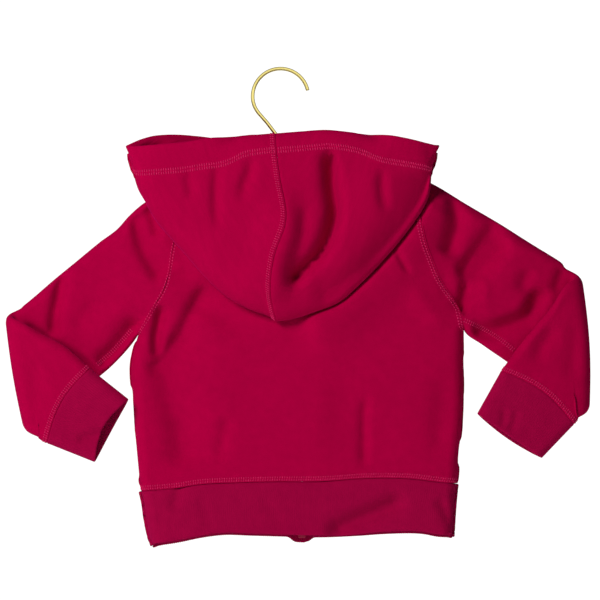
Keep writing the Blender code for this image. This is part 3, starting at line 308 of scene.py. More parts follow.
SLEEVE_FOLDS = {
    (Face.BACK, Side.LEFT): [
        Fold(-8.5, 6, 5.5, ((-218, -200), (-221, -222), (-225, -242), (-227, -268)), 0.15),
        Fold(-8.0, 16, 6.5, ((-149, -138), (-143, -155), (-140, -170), (-134, -185), (-124, -202),
             (-117, -212)), 0.15),
        Fold(-7.5, 6, 5.5, ((-133, -130), (-126, -150), (-121, -170)), 0.25),
        Fold(-4.0, 12, 20, ((-104, -150), (-104, -176), (-96, -204), (-90, -222)), 0.3),
        Fold(-12.0, 4, 10, ((-139, -246), (-147, -259), (-158, -274), (-168, -285), (-184, -298)), 0.18),
        Fold(-7.0, 4, 14, ((-258, -252), (-246, -260.5), (-222, -275.5), (-198, -290.5), (-184, -303),
             (-172, -316)), 0.12),
        Fold(2.0, 9, 9, ((-140, -236), (-156, -238), (-172, -250), (-186, -266))),
        Fold(-1.6, 7, 7, ((-176, -226), (-196, -244), (-206, -268))),
    ],
    (Face.BACK, Side.RIGHT): [
        HOOD_LEDGE,
        Fold(-8.5, 9, 8, ((168, -124), (174, -136), (175, -152), (171, -170), (165, -188)), 0.15),
        Fold(-7.0, 14, 8, ((222, -144), (211, -161), (201, -175), (192, -188), (186, -201), (188, -214),
             (181, -228), (180, -244)), 0.12),
        Fold(-9.5, 8, 13, ((228, -168), (214, -184), (202, -197), (188, -208)), 0.25),
        Fold(-6.0, 6, 7, ((214, -182), (202, -187), (190, -194), (176, -206)), 0.25),
        Fold(-11.0, 3.5, 3.5, ((184, -212), (184.5, -222), (183, -232), (184, -243)), 0.15),
        Fold(2.4, 5, 5, ((198, -204), (205, -218), (200, -232))),
        Fold(-11.0, 7, 9, ((262, -216), (255, -235), (246, -247), (228, -255), (210, -262), (188, -262)),
             0.12),
        Fold(2.8, 8, 8, ((190, -238), (216, -244), (236, -238), (250, -222))),
        Fold(-3.4, 7, 7, ((246, -196), (245, -208), (238, -222))),
        Fold(-3.0, 6, 6, ((284, -192), (280, -206), (273, -224))),
    ],
    (Face.FRONT, Side.LEFT): [
        Fold(-3.4, 6, 7, ((-150, -258), (-168, -240), (-184, -218))),
        Fold(-3.0, 6, 6, ((-228, -218), (-222, -244), (-214, -274))),
        Fold(1.6, 7, 7, ((-160, -196), (-176, -216), (-196, -238))),
        Fold(-2.6, 7, 5, ((-146, -160), (-142, -182), (-148, -208))),
    ],
    (Face.FRONT, Side.RIGHT): [
        Fold(-3.8, 6, 7, ((188, -250), (206, -228), (224, -200))),
        Fold(-3.0, 6, 6, ((262, -196), (256, -226), (250, -256))),
        Fold(1.6, 7, 7, ((176, -168), (200, -186), (226, -206))),
        Fold(-2.8, 6, 7, ((168, -150), (176, -172), (178, -200))),
    ],
}
FOREARM_FOLDS = {
    Side.LEFT: [
        Fold(-1.2, 8, 8, ((-250, -282), (-244, -316), (-246, -350))),
        Fold(0.9, 9, 9, ((-232, -288), (-226, -318), (-232, -350))),
    ],
    Side.RIGHT: [
        Fold(2.2, 6, 8, ((288, -214), (264, -246), (238, -280)), 0.15),
        Fold(-3.6, 7, 8, ((278, -254), (266, -270), (250, -294))),
        Fold(-2.4, 9, 9, ((296, -240), (294, -274), (288, -312))),
    ],
}
CUFF_FOLDS = {
    Side.LEFT: [Fold(-2.6, 4, 5, ((-170, -358), (-184, -364), (-204, -370)), 0.2)],
    Side.RIGHT: [
        Fold(-2.0, 4, 4, ((221, -334), (223, -348), (218, -358))),
        Fold(-1.9, 4, 4, ((236, -338), (233, -352), (227, -364))),
    ],
}
BAND_FOLDS = {
    Face.BACK: [
        Fold(-8.5, 10, 9, ((44, -468), (60, -457), (80, -448), (104, -438), (130, -427)), 0.2),
        Fold(-3.4, 6, 6, ((154, -426), (164, -438), (171, -458))),
        Fold(-2.8, 7, 7, ((-99, -410), (-102, -424), (-110, -442))),
        Fold(-1.0, 7, 7, ((-84, -424), (-74, -442), (-70, -462))),
        Fold(-0.9, 6, 6, ((-20, -424), (-8, -440), (8, -460))),
    ],
    Face.FRONT: [
        Fold(-1.8, 7, 7, ((-60, -424), (-50, -442), (-48, -462))),
        Fold(-1.8, 7, 7, ((96, -424), (90, -442), (94, -462))),
    ],
}
HOOD_CREST = Fold(9.0, 12, 34, ((3, -112), (7, -136), (8, -158), (0, -183), (-5, -208), (-4, -246)), 0.3)
HOOD_FOLDS = {
    Side.LEFT: [
        HOOD_CREST,
        Fold(-5.0, 6, 5, ((-26, -88), (-31, -104), (-42, -130)), 0.3),
        Fold(-4.4, 5, 4.5, ((-63, -90), (-64, -116), (-64, -140), (-60, -164))),
        Fold(-2.8, 5, 5, ((-93, -98), (-90, -114), (-87, -132))),
    ],
    Side.RIGHT: [
        HOOD_CREST,
        Fold(-17.0, 4, 9, ((49, -78), (51.5, -94), (52, -110), (53.5, -125), (56.5, -139), (53.5, -154),
             (49, -169), (41, -184), (25, -199), (8, -216)), 0.08),
        Fold(-3.0, 5, 6, ((25, -132), (24, -148), (23, -164), (17, -184), (8, -202)), 0.2),
        Fold(3.0, 90, 5, ((62, -84), (66, -106), (68, -128), (68, -146), (64, -167), (54, -188),
             (38, -206)), 0.2),
        Fold(3.0, 18, 30, ((86, -86), (94, -116), (92, -146), (82, -176), (60, -208)), 0.2),
        Fold(-8.0, 10, 24, ((152, -94), (150, -114), (146, -129), (137, -146), (118, -172), (97, -196),
             (76, -217), (56, -233), (34, -242)), 0.1),
        Fold(-4.5, 5, 5, ((102, -96), (101, -120), (106, -144))),
    ],
}
TROUGH_LIMIT, SLEEVE_TROUGH_LIMIT, LIMIT_POWER = 12.0, 9.5, 6
FOLD_PIECES = 14
DRAPE_WAVES, DRAPE_HEIGHT, DRAPE_SHORTEST, DRAPE_LONGEST, DRAPE_TILT = 7, 0.32, 38.0, 120.0, 0.9
BODY_SEED, FOREARM_SEED, HOOD_SEED = 3, 11, 21


def mix(a: Value, b: Value, t: Value) -> Value:
    """The value t of the way from a to b."""
    return a + (b - a) * t


def ease(t: Value) -> Value:
    """Ease from 0 to 1."""
    t = np.clip(t, 0.0, 1.0)
    return t * t * (3 - 2 * t)


def bunched(t: np.ndarray) -> np.ndarray:
    """Shares from 0 to 1 that crowd together at both ends."""
    return (1 - np.cos(math.pi * t)) / 2


def rounded(reach: np.ndarray, radius: float) -> np.ndarray:
    """Quarter-round rise from 0 at a folded edge to 1 at the radius."""
    share = np.clip(reach / radius, 0.0, 1.0)
    return np.sqrt(1 - (1 - share) ** 2)


def stacked(x: Value, y: Value, z: Value) -> np.ndarray:
    """Points from their coordinates, which may be of different shapes that fit together."""
    return np.stack(np.broadcast_arrays(x, y, z), axis=-1).astype(float)


def unit(vectors: np.ndarray) -> np.ndarray:
    """Vectors of length 1."""
    return vectors / np.maximum(np.linalg.norm(vectors, axis=-1, keepdims=True), 1e-9)


def running(points: np.ndarray, axis: int) -> np.ndarray:
    """Length run along one axis of a grid of points, whose coordinates come last, from 0 at its start."""
    steps = np.linalg.norm(np.diff(points, axis=axis), axis=-1)
    return np.insert(np.cumsum(steps, axis=axis), 0, 0.0, axis=axis)


def hermite(t: Value, run: Value, ends: tuple[Value, Value], slopes: tuple[Value, Value]) -> Value:
    """The value at a share t of a run, which has these values and slopes at its ends."""
    return ((2 * t ** 3 - 3 * t ** 2 + 1) * ends[0] + (t ** 3 - 2 * t ** 2 + t) * run * slopes[0]
            + (3 * t ** 2 - 2 * t ** 3) * ends[1] + (t ** 3 - t ** 2) * run * slopes[1])


class Curve:
    """A smooth line through the rows of a table."""

    def __init__(self, rows: Sequence[Sequence[float]], by: str = "") -> None:
        """Takes the table.

        Args:
            rows: rows of the same columns, named ones where by is given.
            by: the column that the line is read by, or nothing for its length.
        """
        self.rows = np.array(rows, float)
        self.knots = self.rows[:, rows[0]._fields.index(by)] if by else running(self.rows, 0)
        index = np.arange(len(rows))
        low, high = np.maximum(index - 1, 0), np.minimum(index + 1, len(rows) - 1)
        self.slopes = (self.rows[high] - self.rows[low]) / (self.knots[high] - self.knots[low])[:, None]

    def read(self, knots: Value) -> np.ndarray:
        """Rows at values of the knot column.

        Args:
            knots: one value or an array of them.

        Returns:
            An array of the same shape with one more axis, for the columns.
        """
        knots = np.clip(np.asarray(knots, float), self.knots[0], self.knots[-1])
        index = np.clip(np.searchsorted(self.knots, knots) - 1, 0, len(self.knots) - 2)
        span = self.knots[index + 1] - self.knots[index]
        t = ((knots - self.knots[index]) / span)[..., None]
        before, after = self.rows[index], self.rows[index + 1]
        return hermite(t, span[..., None], (before, after), (self.slopes[index], self.slopes[index + 1]))

    def at(self, shares: Value) -> np.ndarray:
        """Rows at shares of the line's length."""
        return self.read(mix(self.knots[0], self.knots[-1], np.asarray(shares, float)))


def lofted(keys: np.ndarray, knots: np.ndarray, places: np.ndarray) -> np.ndarray:
    """Smooth rows between key rows.

    Args:
        keys: the key rows, along the first axis.
        knots: each key's run along its column, of the same shape as the keys or one with single axes.
        places: the rows to make, as the number of the key before plus the share of the way to the next.

    Returns:
        The rows at those places, along the first axis.
    """
    gaps = np.maximum(np.diff(knots, axis=0), 1e-6)
    rates = np.diff(keys, axis=0) / gaps
    slopes = np.empty_like(keys)
    slopes[1:-1] = (rates[:-1] * gaps[1:] + rates[1:] * gaps[:-1]) / (gaps[:-1] + gaps[1:])
    slopes[0], slopes[-1] = rates[0], rates[-1]
    index = np.minimum(places.astype(int), len(keys) - 2)
    run = gaps[index]
    t = (places - index).reshape((-1,) + (1,) * (keys.ndim - 1))
    return hermite(t, run, (keys[index], keys[index + 1]), (slopes[index], slopes[index + 1]))


def evenly(run: np.ndarray, step: float, start: float = 0.0) -> np.ndarray:
    """Places of rows that are a step apart, for key rows at these runs along the cloth."""
    wanted = np.linspace(start, run[-1], round((run[-1] - start) / step) + 1)
    return np.interp(wanted, run, np.arange(len(run)))


def nearest(x: np.ndarray, z: np.ndarray, line: np.ndarray) -> tuple[np.ndarray, np.ndarray, np.ndarray]:
    """Where points lie beside a line of straight pieces.

    Args:
        x: the points' x.
        z: the points' z.
        line: the line's corners, one row each.

    Returns:
        Each point's distance, which side of the run it is on (1 left, -1 right) and the share of the
        line's length at which it is nearest.
    """
    lengths = running(line, 0)
    best = np.full(np.shape(x), np.inf)
    side, share = np.ones_like(best), np.zeros_like(best)
    for (ax, az), (bx, bz), start in zip(line[:-1], line[1:], lengths[:-1]):
        run_x, run_z = bx - ax, bz - az
        square = max(run_x ** 2 + run_z ** 2, 1e-9)
        along = np.clip(((x - ax) * run_x + (z - az) * run_z) / square, 0, 1)
        away = np.hypot(x - ax - along * run_x, z - az - along * run_z)
        closer = away < best
        best = np.where(closer, away, best)
        side = np.where(closer, np.sign(run_x * (z - az) - run_z * (x - ax)), side)
        share = np.where(closer, (start + along * math.sqrt(square)) / lengths[-1], share)
    return best, side, share


def fold_relief(folds: Sequence[Fold], x: np.ndarray, z: np.ndarray) -> np.ndarray:
    """How far folds lift the cloth at points of the flat garment; each dies out at its ends.

    Args:
        folds: the folds.
        x: the points' x.
        z: the points' z.

    Returns:
        The heights, negative in troughs.
    """
    total = np.zeros(np.shape(x))
    for fold in folds:
        line = Curve(fold.path).at(np.linspace(0, 1, FOLD_PIECES + 1))
        away, side, share = nearest(x, z, line)
        width = np.where(side > 0, fold.left, fold.right)
        ends = ease(share / fold.fade) * ease((1 - share) / fold.fade)
        total += fold.height * ends * np.exp(-(away / width) ** 2)
    return total


def limited(relief: np.ndarray, most: Value) -> np.ndarray:
    """Relief that never goes deeper than the most, so that a trough stays off the layer behind it."""
    held = relief / (1 + (np.abs(relief) / most) ** LIMIT_POWER) ** (1 / LIMIT_POWER)
    return np.where(relief < 0, held, relief)


def drape(x: np.ndarray, z: np.ndarray, seed: int) -> np.ndarray:
    """Faint uneven waves of hanging cloth.

    Args:
        x: the points' x.
        z: the points' z.
        seed: what the waves are drawn from.

    Returns:
        The heights.
    """
    chance = np.random.default_rng(seed)
    total = np.zeros(np.shape(x))
    for _ in range(DRAPE_WAVES):
        turn = chance.uniform(-DRAPE_TILT, DRAPE_TILT)
        length = chance.uniform(DRAPE_SHORTEST, DRAPE_LONGEST)
        phase = chance.uniform(0, 2 * math.pi)
        along = x * math.cos(turn) + z * math.sin(turn)
        total += np.sin(2 * math.pi * along / length + phase) * length / DRAPE_LONGEST
    return total * DRAPE_HEIGHT


# ---- the hollow cushion that the body's pieces lie on ----


class Cut:
    """The garment's cut lines and the cushion shape between its folded edges."""

    def __init__(self) -> None:
        """Makes the lines from the tables."""
        self.shoulder = {side: Curve(rows) for side, rows in SHOULDER.items()}
        self.raglan_line = {key: Curve(rows) for key, rows in RAGLAN.items()}
        self.side_seam = {side: Curve(rows) for side, rows in SIDE_SEAM.items()}
        self.band_side = {side: Curve(rows) for side, rows in BAND_SIDE.items()}
        self.waist = Curve(WAIST, by="x")
        self.hem = Curve(HEM_LINE, by="x")
        self.edges = self._folded_edges()

    def _folded_edges(self) -> list[np.ndarray]:
        """Lines along the garment's folded edges.

        Returns:
            Each line's corners.
        """
        shares = np.linspace(0, 1, 25)
        lines = [np.array([SHOULDER[Side.LEFT][0], SHOULDER[Side.RIGHT][0]])]
        for side in Side:
            beyond = np.array(UPPER_SLEEVE[side][:2])
            lines.append(np.vstack([self.shoulder[side].at(shares), beyond[:, :2]]))
            lines.append(self.side_seam[side].at(shares))
            lines.append(np.vstack([SIDE_SEAM[side][-1], beyond[:, 2:4]]))
            lines.append(self.band_side[side].at(shares[::2]))
        return lines

    def reach(self, x: np.ndarray, z: np.ndarray) -> np.ndarray:
        """Distance from points to the nearest folded edge."""
        return np.min([nearest(x, z, line)[0] for line in self.edges], axis=0)

    def depth(self, x: np.ndarray, z: np.ndarray, face: Face, folds: bool = True) -> np.ndarray:
        """Distance from the middle plane to the outer face of the body and the sleeve tops.

        Args:
            x: the points' x.
            z: the points' z.
            face: the layer that they are on.
            folds: whether the folds are added.

        Returns:
            The distances, all positive.
        """
        share = rounded(self.reach(x, z), EDGE_ROUND)
        slim = ease((np.abs(x - CENTRE_X) - SLIM_FROM) / SLIM_OVER)
        full = mix(HALF_DEPTH, SLEEVE_HALF_DEPTH, slim)
        if not folds:
            return full * share
        return full * share + self.relief(x, z, face) * share ** 2

    def relief(self, x: np.ndarray, z: np.ndarray, face: Face) -> np.ndarray:
        """How far the folds of the body and both sleeve tops lift one layer.

        Args:
            x: the points' x.
            z: the points' z.
            face: the layer that they are on.

        Returns:
            The heights.
        """
        folds = BODY_FOLDS[face] + SLEEVE_FOLDS[(face, Side.LEFT)] + SLEEVE_FOLDS[(face, Side.RIGHT)]
        slim = ease((np.abs(x - CENTRE_X) - SLIM_FROM) / SLIM_OVER)
        most = mix(TROUGH_LIMIT, SLEEVE_TROUGH_LIMIT, slim)
        return limited(fold_relief(folds, x, z) + drape(x, z, BODY_SEED + face.value), most)

    def zip_x(self, z: Value) -> Value:
        """The zip's centre line, which leans a little from the neck to the hem."""
        top_z = NECK_SIDE_Z - NECK_FRONT_DROP
        return mix(CENTRE_X, ZIP_BOTTOM_X, (z - top_z) / (ZIP_BOTTOM_Z - top_z))

    def neck(self, side: Side, angle: Value) -> np.ndarray:
        """Points of the neck seam: angle 0 at the zip, 90 at the shoulder, 180 at the centre back.

        Args:
            side: the side that they are on.
            angle: one angle or an array of them.

        Returns:
            The points.
        """
        angle = np.asarray(angle, float)
        cosine = np.cos(np.radians(angle))
        front = NECK_FRONT_DROP * np.maximum(cosine, 0) ** NECK_FRONT_POWER
        back = NECK_BACK_DROP * np.maximum(-cosine, 0) ** NECK_BACK_POWER
        x = CENTRE_X + side.value * NECK_HALF_WIDTH * np.sin(np.radians(angle))
        z = NECK_SIDE_Z - front - back
        y = np.where(cosine < 0, -self.depth(x, z, Face.BACK), self.depth(x, z, Face.FRONT))
        return stacked(x, np.where(np.abs(angle - 90) < 0.01, 0.0, y), z)

    def neck_angle(self, x: Value) -> np.ndarray:
        """The angle, 0 to 90, at which the neck seam has this x."""
        return np.degrees(np.arcsin(np.minimum(np.abs(x - CENTRE_X) / NECK_HALF_WIDTH, 1.0)))

    def raglan(self, face: Face, side: Side, share: np.ndarray, shift: float) -> np.ndarray:
        """Points of a raglan seam from neck to underarm, moved away from the body panel by shift.

        Args:
            face: the layer that they are on.
            side: the side.
            share: how far along the seam each is.
            shift: how far they are moved.

        Returns:
            The points.
        """
        line = self.raglan_line[(face, side)]
        here = line.at(share)
        probe, closed = 0.01, 0.999
        run = unit(line.at(np.minimum(share + probe, 1)) - line.at(np.maximum(share - probe, 0)))
        x = here[..., 0] - side.value * run[..., 1] * shift
        z = here[..., 1] + side.value * run[..., 0] * shift
        depth = np.where(share > closed, 0.0, self.depth(here[..., 0], here[..., 1], face))
        return stacked(x, face.value * depth, z)


CUT = Cut()


def near_underarm(share: np.ndarray) -> np.ndarray:
    """Share of the usual clearance that is left along a raglan seam, which closes up at the underarm."""
    return 1 - UNDERARM_CLOSE * ease((share - UNDERARM_FROM) / UNDERARM_OVER)


# ---- meshes ----


def clear_selection() -> None:
    """Leave nothing selected or active."""
    for other in bpy.context.selected_objects:
        other.select_set(False)
    bpy.context.view_layer.objects.active = None


@contextmanager
def editing(piece: Object) -> Iterator[None]:
    """Edit mode on the whole of one piece.

    Args:
        piece: the piece, which stays selected and active.

    Yields:
        Once, in edit mode.
    """
    clear_selection()
    piece.select_set(True)
    bpy.context.view_layer.objects.active = piece
    bpy.ops.object.mode_set(mode="EDIT")
    bpy.ops.mesh.select_all(action="SELECT")
    yield
    bpy.ops.object.mode_set(mode="OBJECT")


def placed(name: str, data: Mesh, material: Material) -> Object:
    """Put mesh data into the scene.

    Args:
        name: the new object's name.
        data: its mesh.
        material: its finish.

    Returns:
        The new object.
    """
    data.materials.append(material)
    piece = bpy.data.objects.new(name, data)
    bpy.context.scene.collection.objects.link(piece)
    return piece


def merged(name: str, shapes: Iterable[tuple[np.ndarray, list]], material: Material) -> Object:
    """Make one object of many shapes.

    Args:
        name: its name.
        shapes: the corners of each, in metres, and its faces.
        material: its finish.

    Returns:
        The new object.
    """
    corners, faces = [], []
    for points, shape in shapes:
        start = len(corners)
        corners.extend(points.tolist())
        faces.extend([start + corner for corner in face] for face in shape)
    data = bpy.data.meshes.new(name)
    data.from_pydata(corners, [], faces)
    return placed(name, data, material)


def finished(piece: Object, body: str, nodes: Sequence[str] = ()) -> Object:
    """Hand a finished piece to the frame.

    Args:
        piece: the piece, in place.
        body: the body that it moves with.
        nodes: the solids that it stands for.

    Returns:
        The same piece.
    """
    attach(piece, body)
    if nodes:
        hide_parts(*nodes)
    LOG.info("%s: %d faces", piece.name, len(piece.data.polygons))
    return piece


@dataclass
class Sheet:
    """One cut piece of cloth: a grid of outer points, its wall and its place in the flat cut."""

    name: str
    points: np.ndarray
    flat: np.ndarray
    wall: Value
    flip: bool = False
    cut_width: float = 0.0

    def outward(self) -> np.ndarray:
        """The cloth's outward direction at each point of the grid, of length 1."""
        across, along = np.gradient(self.points, axis=1), np.gradient(self.points, axis=0)
        return unit(np.cross(across, along)) * (-1 if self.flip else 1)

    def lift(self, heights: np.ndarray) -> None:
        """Move every point along the outward direction."""
        self.points = self.points + self.outward() * heights[..., None]

    def trim(self, amount: float, row: int | None = None, column: int | None = None) -> None:
        """Shorten the cloth at its first or last row or column.

        Args:
            amount: how much is cut off.
            row: 0 or -1 for the first or last row.
            column: 0 or -1 for the first or last column.
        """
        grid = self.points if column is None else self.points.transpose(1, 0, 2)
        end = row if column is None else column
        way = grid[1 if end == 0 else -2] - grid[end]
        room = np.linalg.norm(way, axis=-1, keepdims=True) * TRIM_LIMIT
        grid[end] += unit(way) * np.minimum(amount, room)

    def line(self, edge: str, distance: float, start: float = 0.0, stop: float = 1.0) -> np.ndarray:
        """A line on the cloth beside one of its edges.

        Args:
            edge: first_row, last_row, first_column or last_column.
            distance: how far from that edge, along the cloth.
            start: share of the edge at which the line starts.
            stop: share at which it ends.

        Returns:
            One row for each point: its place, then the outward direction there.
        """
        grid = np.concatenate([self.points, self.outward()], axis=-1)
        if "column" in edge:
            grid = grid.transpose(1, 0, 2)
        if "last" in edge:
            grid = grid[::-1]
        count = grid.shape[1]
        grid = grid[:, round(start * (count - 1)):round(stop * (count - 1)) + 1]
        reach = running(grid[..., :3], 0)
        row = np.argmax(reach > distance, axis=0)
        column = np.arange(grid.shape[1])
        before, after = reach[row - 1, column], reach[row, column]
        t = ((distance - before) / (after - before))[:, None]
        return mix(grid[row - 1, column], grid[row, column], t)

    def _outer(self) -> bmesh.types.BMesh:
        """The outer skin, with the flat cut in a UV map and coincident edges made one.

        Returns:
            Its mesh.
        """
        build = bmesh.new()
        cut = build.loops.layers.uv.new("cut")
        rows, columns = self.points.shape[:2]
        walls = np.broadcast_to(self.wall, (rows, columns))
        depth = build.verts.layers.float.new("wall")
        verts = []
        for point, wall in zip(self.points.reshape(-1, 3) * MM, walls.reshape(-1)):
            vert = build.verts.new(point)
            vert[depth] = wall * MM
            verts.append(vert)
        places = self.flat.reshape(-1, 2) * MM
        for row in range(rows - 1):
            for column in range(columns - 1):
                first = row * columns + column
                corners = [first, first + 1, first + columns + 1, first + columns]
                if self.flip:
                    corners.reverse()
                face = build.faces.new([verts[corner] for corner in corners])
                face.smooth = True
                for loop, corner in zip(face.loops, corners):
                    loop[cut].uv = places[corner]
        bmesh.ops.remove_doubles(build, verts=build.verts, dist=2e-6)
        build.normal_update()
        return build

    def _rim_direction(self, vert: bmesh.types.BMVert) -> Vector:
        """The way out of the cloth at a point of its edge, square to the outward direction.

        Args:
            vert: the point.

        Returns:
            The way, of length 1.
        """
        way = Vector()
        for edge in vert.link_edges:
            if edge.is_boundary:
                loop = edge.link_loops[0]
                run = loop.link_loop_next.vert.co - loop.vert.co
                way += run.cross(loop.face.normal).normalized()
        way -= vert.normal * way.dot(vert.normal)
        return way.normalized()

    def build(self, material: Material) -> Object:
        """Make the piece: outer skin, inner skin and the rounded edge between them.

        Args:
            material: the cloth's finish.

        Returns:
            The new object, at the origin.
        """
        turns = (45, 90, 135)
        mesh = self._outer()
        cut, depth = mesh.loops.layers.uv["cut"], mesh.verts.layers.float["wall"]
        outer_faces, outer_verts = list(mesh.faces), list(mesh.verts)
        rim_edges = [edge for edge in mesh.edges if edge.is_boundary]
        normals = [vert.normal.copy() for vert in outer_verts]
        ways = {vert.index: self._rim_direction(vert) for edge in rim_edges for vert in edge.verts}
        inner = [mesh.verts.new(vert.co - normal * vert[depth]) for vert, normal in zip(outer_verts, normals)]
        beads = {}
        for index, way in ways.items():
            vert, half = outer_verts[index], outer_verts[index][depth] / 2
            middle = vert.co - normals[index] * half
            ring = [vert]
            for turn in turns:
                up, out = math.cos(math.radians(turn)), math.sin(math.radians(turn))
                ring.append(mesh.verts.new(middle + (normals[index] * up + way * out) * half))
            beads[index] = ring + [inner[index]]
        for face in outer_faces:
            loops = list(face.loops)[::-1]
            back = mesh.faces.new([inner[loop.vert.index] for loop in loops])
            back.smooth = True
            for new, old in zip(back.loops, loops):
                new[cut].uv = old[cut].uv
        for edge in rim_edges:
            loop = edge.link_loops[0]
            first, second = loop.vert, loop.link_loop_next.vert
            uvs = [loop.link_loop_next[cut].uv, loop[cut].uv]
            one, two = beads[second.index], beads[first.index]
            for step in range(len(turns) + 1):
                face = mesh.faces.new((one[step], two[step], two[step + 1], one[step + 1]))
                face.smooth = True
                for new, place in zip(face.loops, (uvs[0], uvs[1], uvs[1], uvs[0])):
                    new[cut].uv = place
        data = bpy.data.meshes.new(self.name)
        mesh.to_mesh(data)
        mesh.free()
        return placed(self.name, data, material)

    def tree(self) -> BVHTree:
        """The outer skin as a search tree, in millimetres.

        Returns:
            The tree.
        """
        index = np.arange(self.points[..., 0].size).reshape(self.points.shape[:2])
        quads = np.stack([index[:-1, :-1], index[:-1, 1:], index[1:, 1:], index[1:, :-1]], axis=-1)
        return BVHTree.FromPolygons(self.points.reshape(-1, 3).tolist(), quads.reshape(-1, 4).tolist())


def spaced(line: np.ndarray, count: int) -> np.ndarray:
    """Cut a line into even steps.

    Args:
        line: its rows, whose first three columns are the place.
        count: how many steps.

    Returns:
        Such a row for each end of a step.
    """
    run = running(line[:, :3], 0)
    wanted = np.linspace(0, run[-1], count + 1)
    return np.stack([np.interp(wanted, run, column) for column in line.T], axis=-1)


def ribbed(sheet: Sheet) -> None:
    """Raise fine ribs that run along a sheet's columns.

    Args:
        sheet: the cloth.
    """
    around = running(sheet.points, 1)
    middle = around[len(around) // 2]
    ribs = round(middle[-1] / RIB_PITCH)
    wave = np.cos(2 * math.pi * ribs * middle / middle[-1])
    ends = ease(np.linspace(0, 1, len(sheet.points)) / RIB_FADE)[:, None]
    sheet.lift(RIB_HEIGHT * wave[None, :] * ends)


# ---- finishes ----


class Nodes:
    """A small helper that adds and joins the nodes of one material."""

    def __init__(self, name: str) -> None:
        """Starts a material with a Principled BSDF.

        Args:
            name: the material's name.
        """
        self.material = bpy.data.materials.new(name)
        self.material.use_nodes = True
        self.tree = self.material.node_tree
        self.shader = self.tree.nodes["Principled BSDF"]

    def add(self, kind: str, **inputs: float) -> bpy.types.Node:
        """Add a node.

        Args:
            kind: the node's type, without its ShaderNode prefix.
            inputs: constants for its inputs, by their names in lower case.

        Returns:
            The node.
        """
        node = self.tree.nodes.new(f"ShaderNode{kind}")
        for name, value in inputs.items():
            node.inputs[name.title()].default_value = value
        return node

    def join(self, source: Socket, target: Socket) -> None:
        """Link two sockets."""
        self.tree.links.new(source, target)

    def maths(self, operation: str, *values: float | Socket) -> Socket:
        """Add a Math node.

        Args:
            operation: what it does.
            values: a number or a socket for each of its inputs.

        Returns:
            Its result.
        """
        node = self.add("Math")
        node.operation = operation
        for socket, value in zip(node.inputs, values):
            if isinstance(value, Socket):
                self.join(value, socket)
            else:
                socket.default_value = value
        return node.outputs[0]

    def place(self, kind: str) -> Socket:
        """Texture coordinates of one kind."""
        return self.add("TexCoord").outputs[kind]

    def waves(self, along: Socket, length: float) -> Socket:
        """A sine wave of this length along a value."""
        return self.maths("SINE", self.maths("MULTIPLY", along, 2 * math.pi / length))

    def noise(self, place: Socket, scale: float, detail: float, roughness: float = 0.5) -> Socket:
        """Add noise.

        Args:
            place: the coordinates that it is read at.
            scale: its fineness.
            detail: how many finer layers it has.
            roughness: how strong these are.

        Returns:
            Its value.
        """
        node = self.add("TexNoise", scale=scale, detail=detail, roughness=roughness)
        self.join(place, node.inputs["Vector"])
        return node.outputs["Fac"]

    def tint(self, value: Socket, stops: tuple[float, float], finish: "Finish") -> None:
        """Colour the shader by a value.

        Args:
            value: the value.
            stops: where it gives the finish's shade and where it gives its colour.
            finish: the finish.
        """
        ramp = self.add("ValToRGB")
        for stop, place, tone in zip(ramp.color_ramp.elements, stops, (finish.shade, finish.colour)):
            stop.position, stop.color = place, (*tone, 1)
        self.join(value, ramp.inputs[0])
        self.join(ramp.outputs[0], self.shader.inputs["Base Color"])

    def emboss(self, height: Socket, strength: float, distance: float = 0.0002) -> None:
        """Raise the surface's look.

        Args:
            height: the height that is shown.
            strength: how much of it is shown.
            distance: what a height of 1 stands for, in metres.
        """
        bump = self.add("Bump", strength=strength, distance=distance)
        self.join(height, bump.inputs["Height"])
        self.join(bump.outputs[0], self.shader.inputs["Normal"])

    def gloss(self, value: Socket, spread: float, start: float) -> None:
        """Let the shader's roughness run with a value, from a start."""
        self.join(self.maths("MULTIPLY_ADD", value, spread, start), self.shader.inputs["Roughness"])

    def set(self, **values: float | tuple[float, ...]) -> Material:
        """Set constants on the shader's own sockets.

        Args:
            values: the constants, by the sockets' names in lower case with underscores.

        Returns:
            The material.
        """
        sockets = {socket.name.lower().replace(" ", "_"): socket for socket in self.shader.inputs}
        for key, value in values.items():
            sockets[key].default_value = value
        return self.material


@dataclass(frozen=True)
class Finish:
    """A finish whose colour wanders between a colour and its shade."""

    name: str
    colour: Colour
    shade: Colour


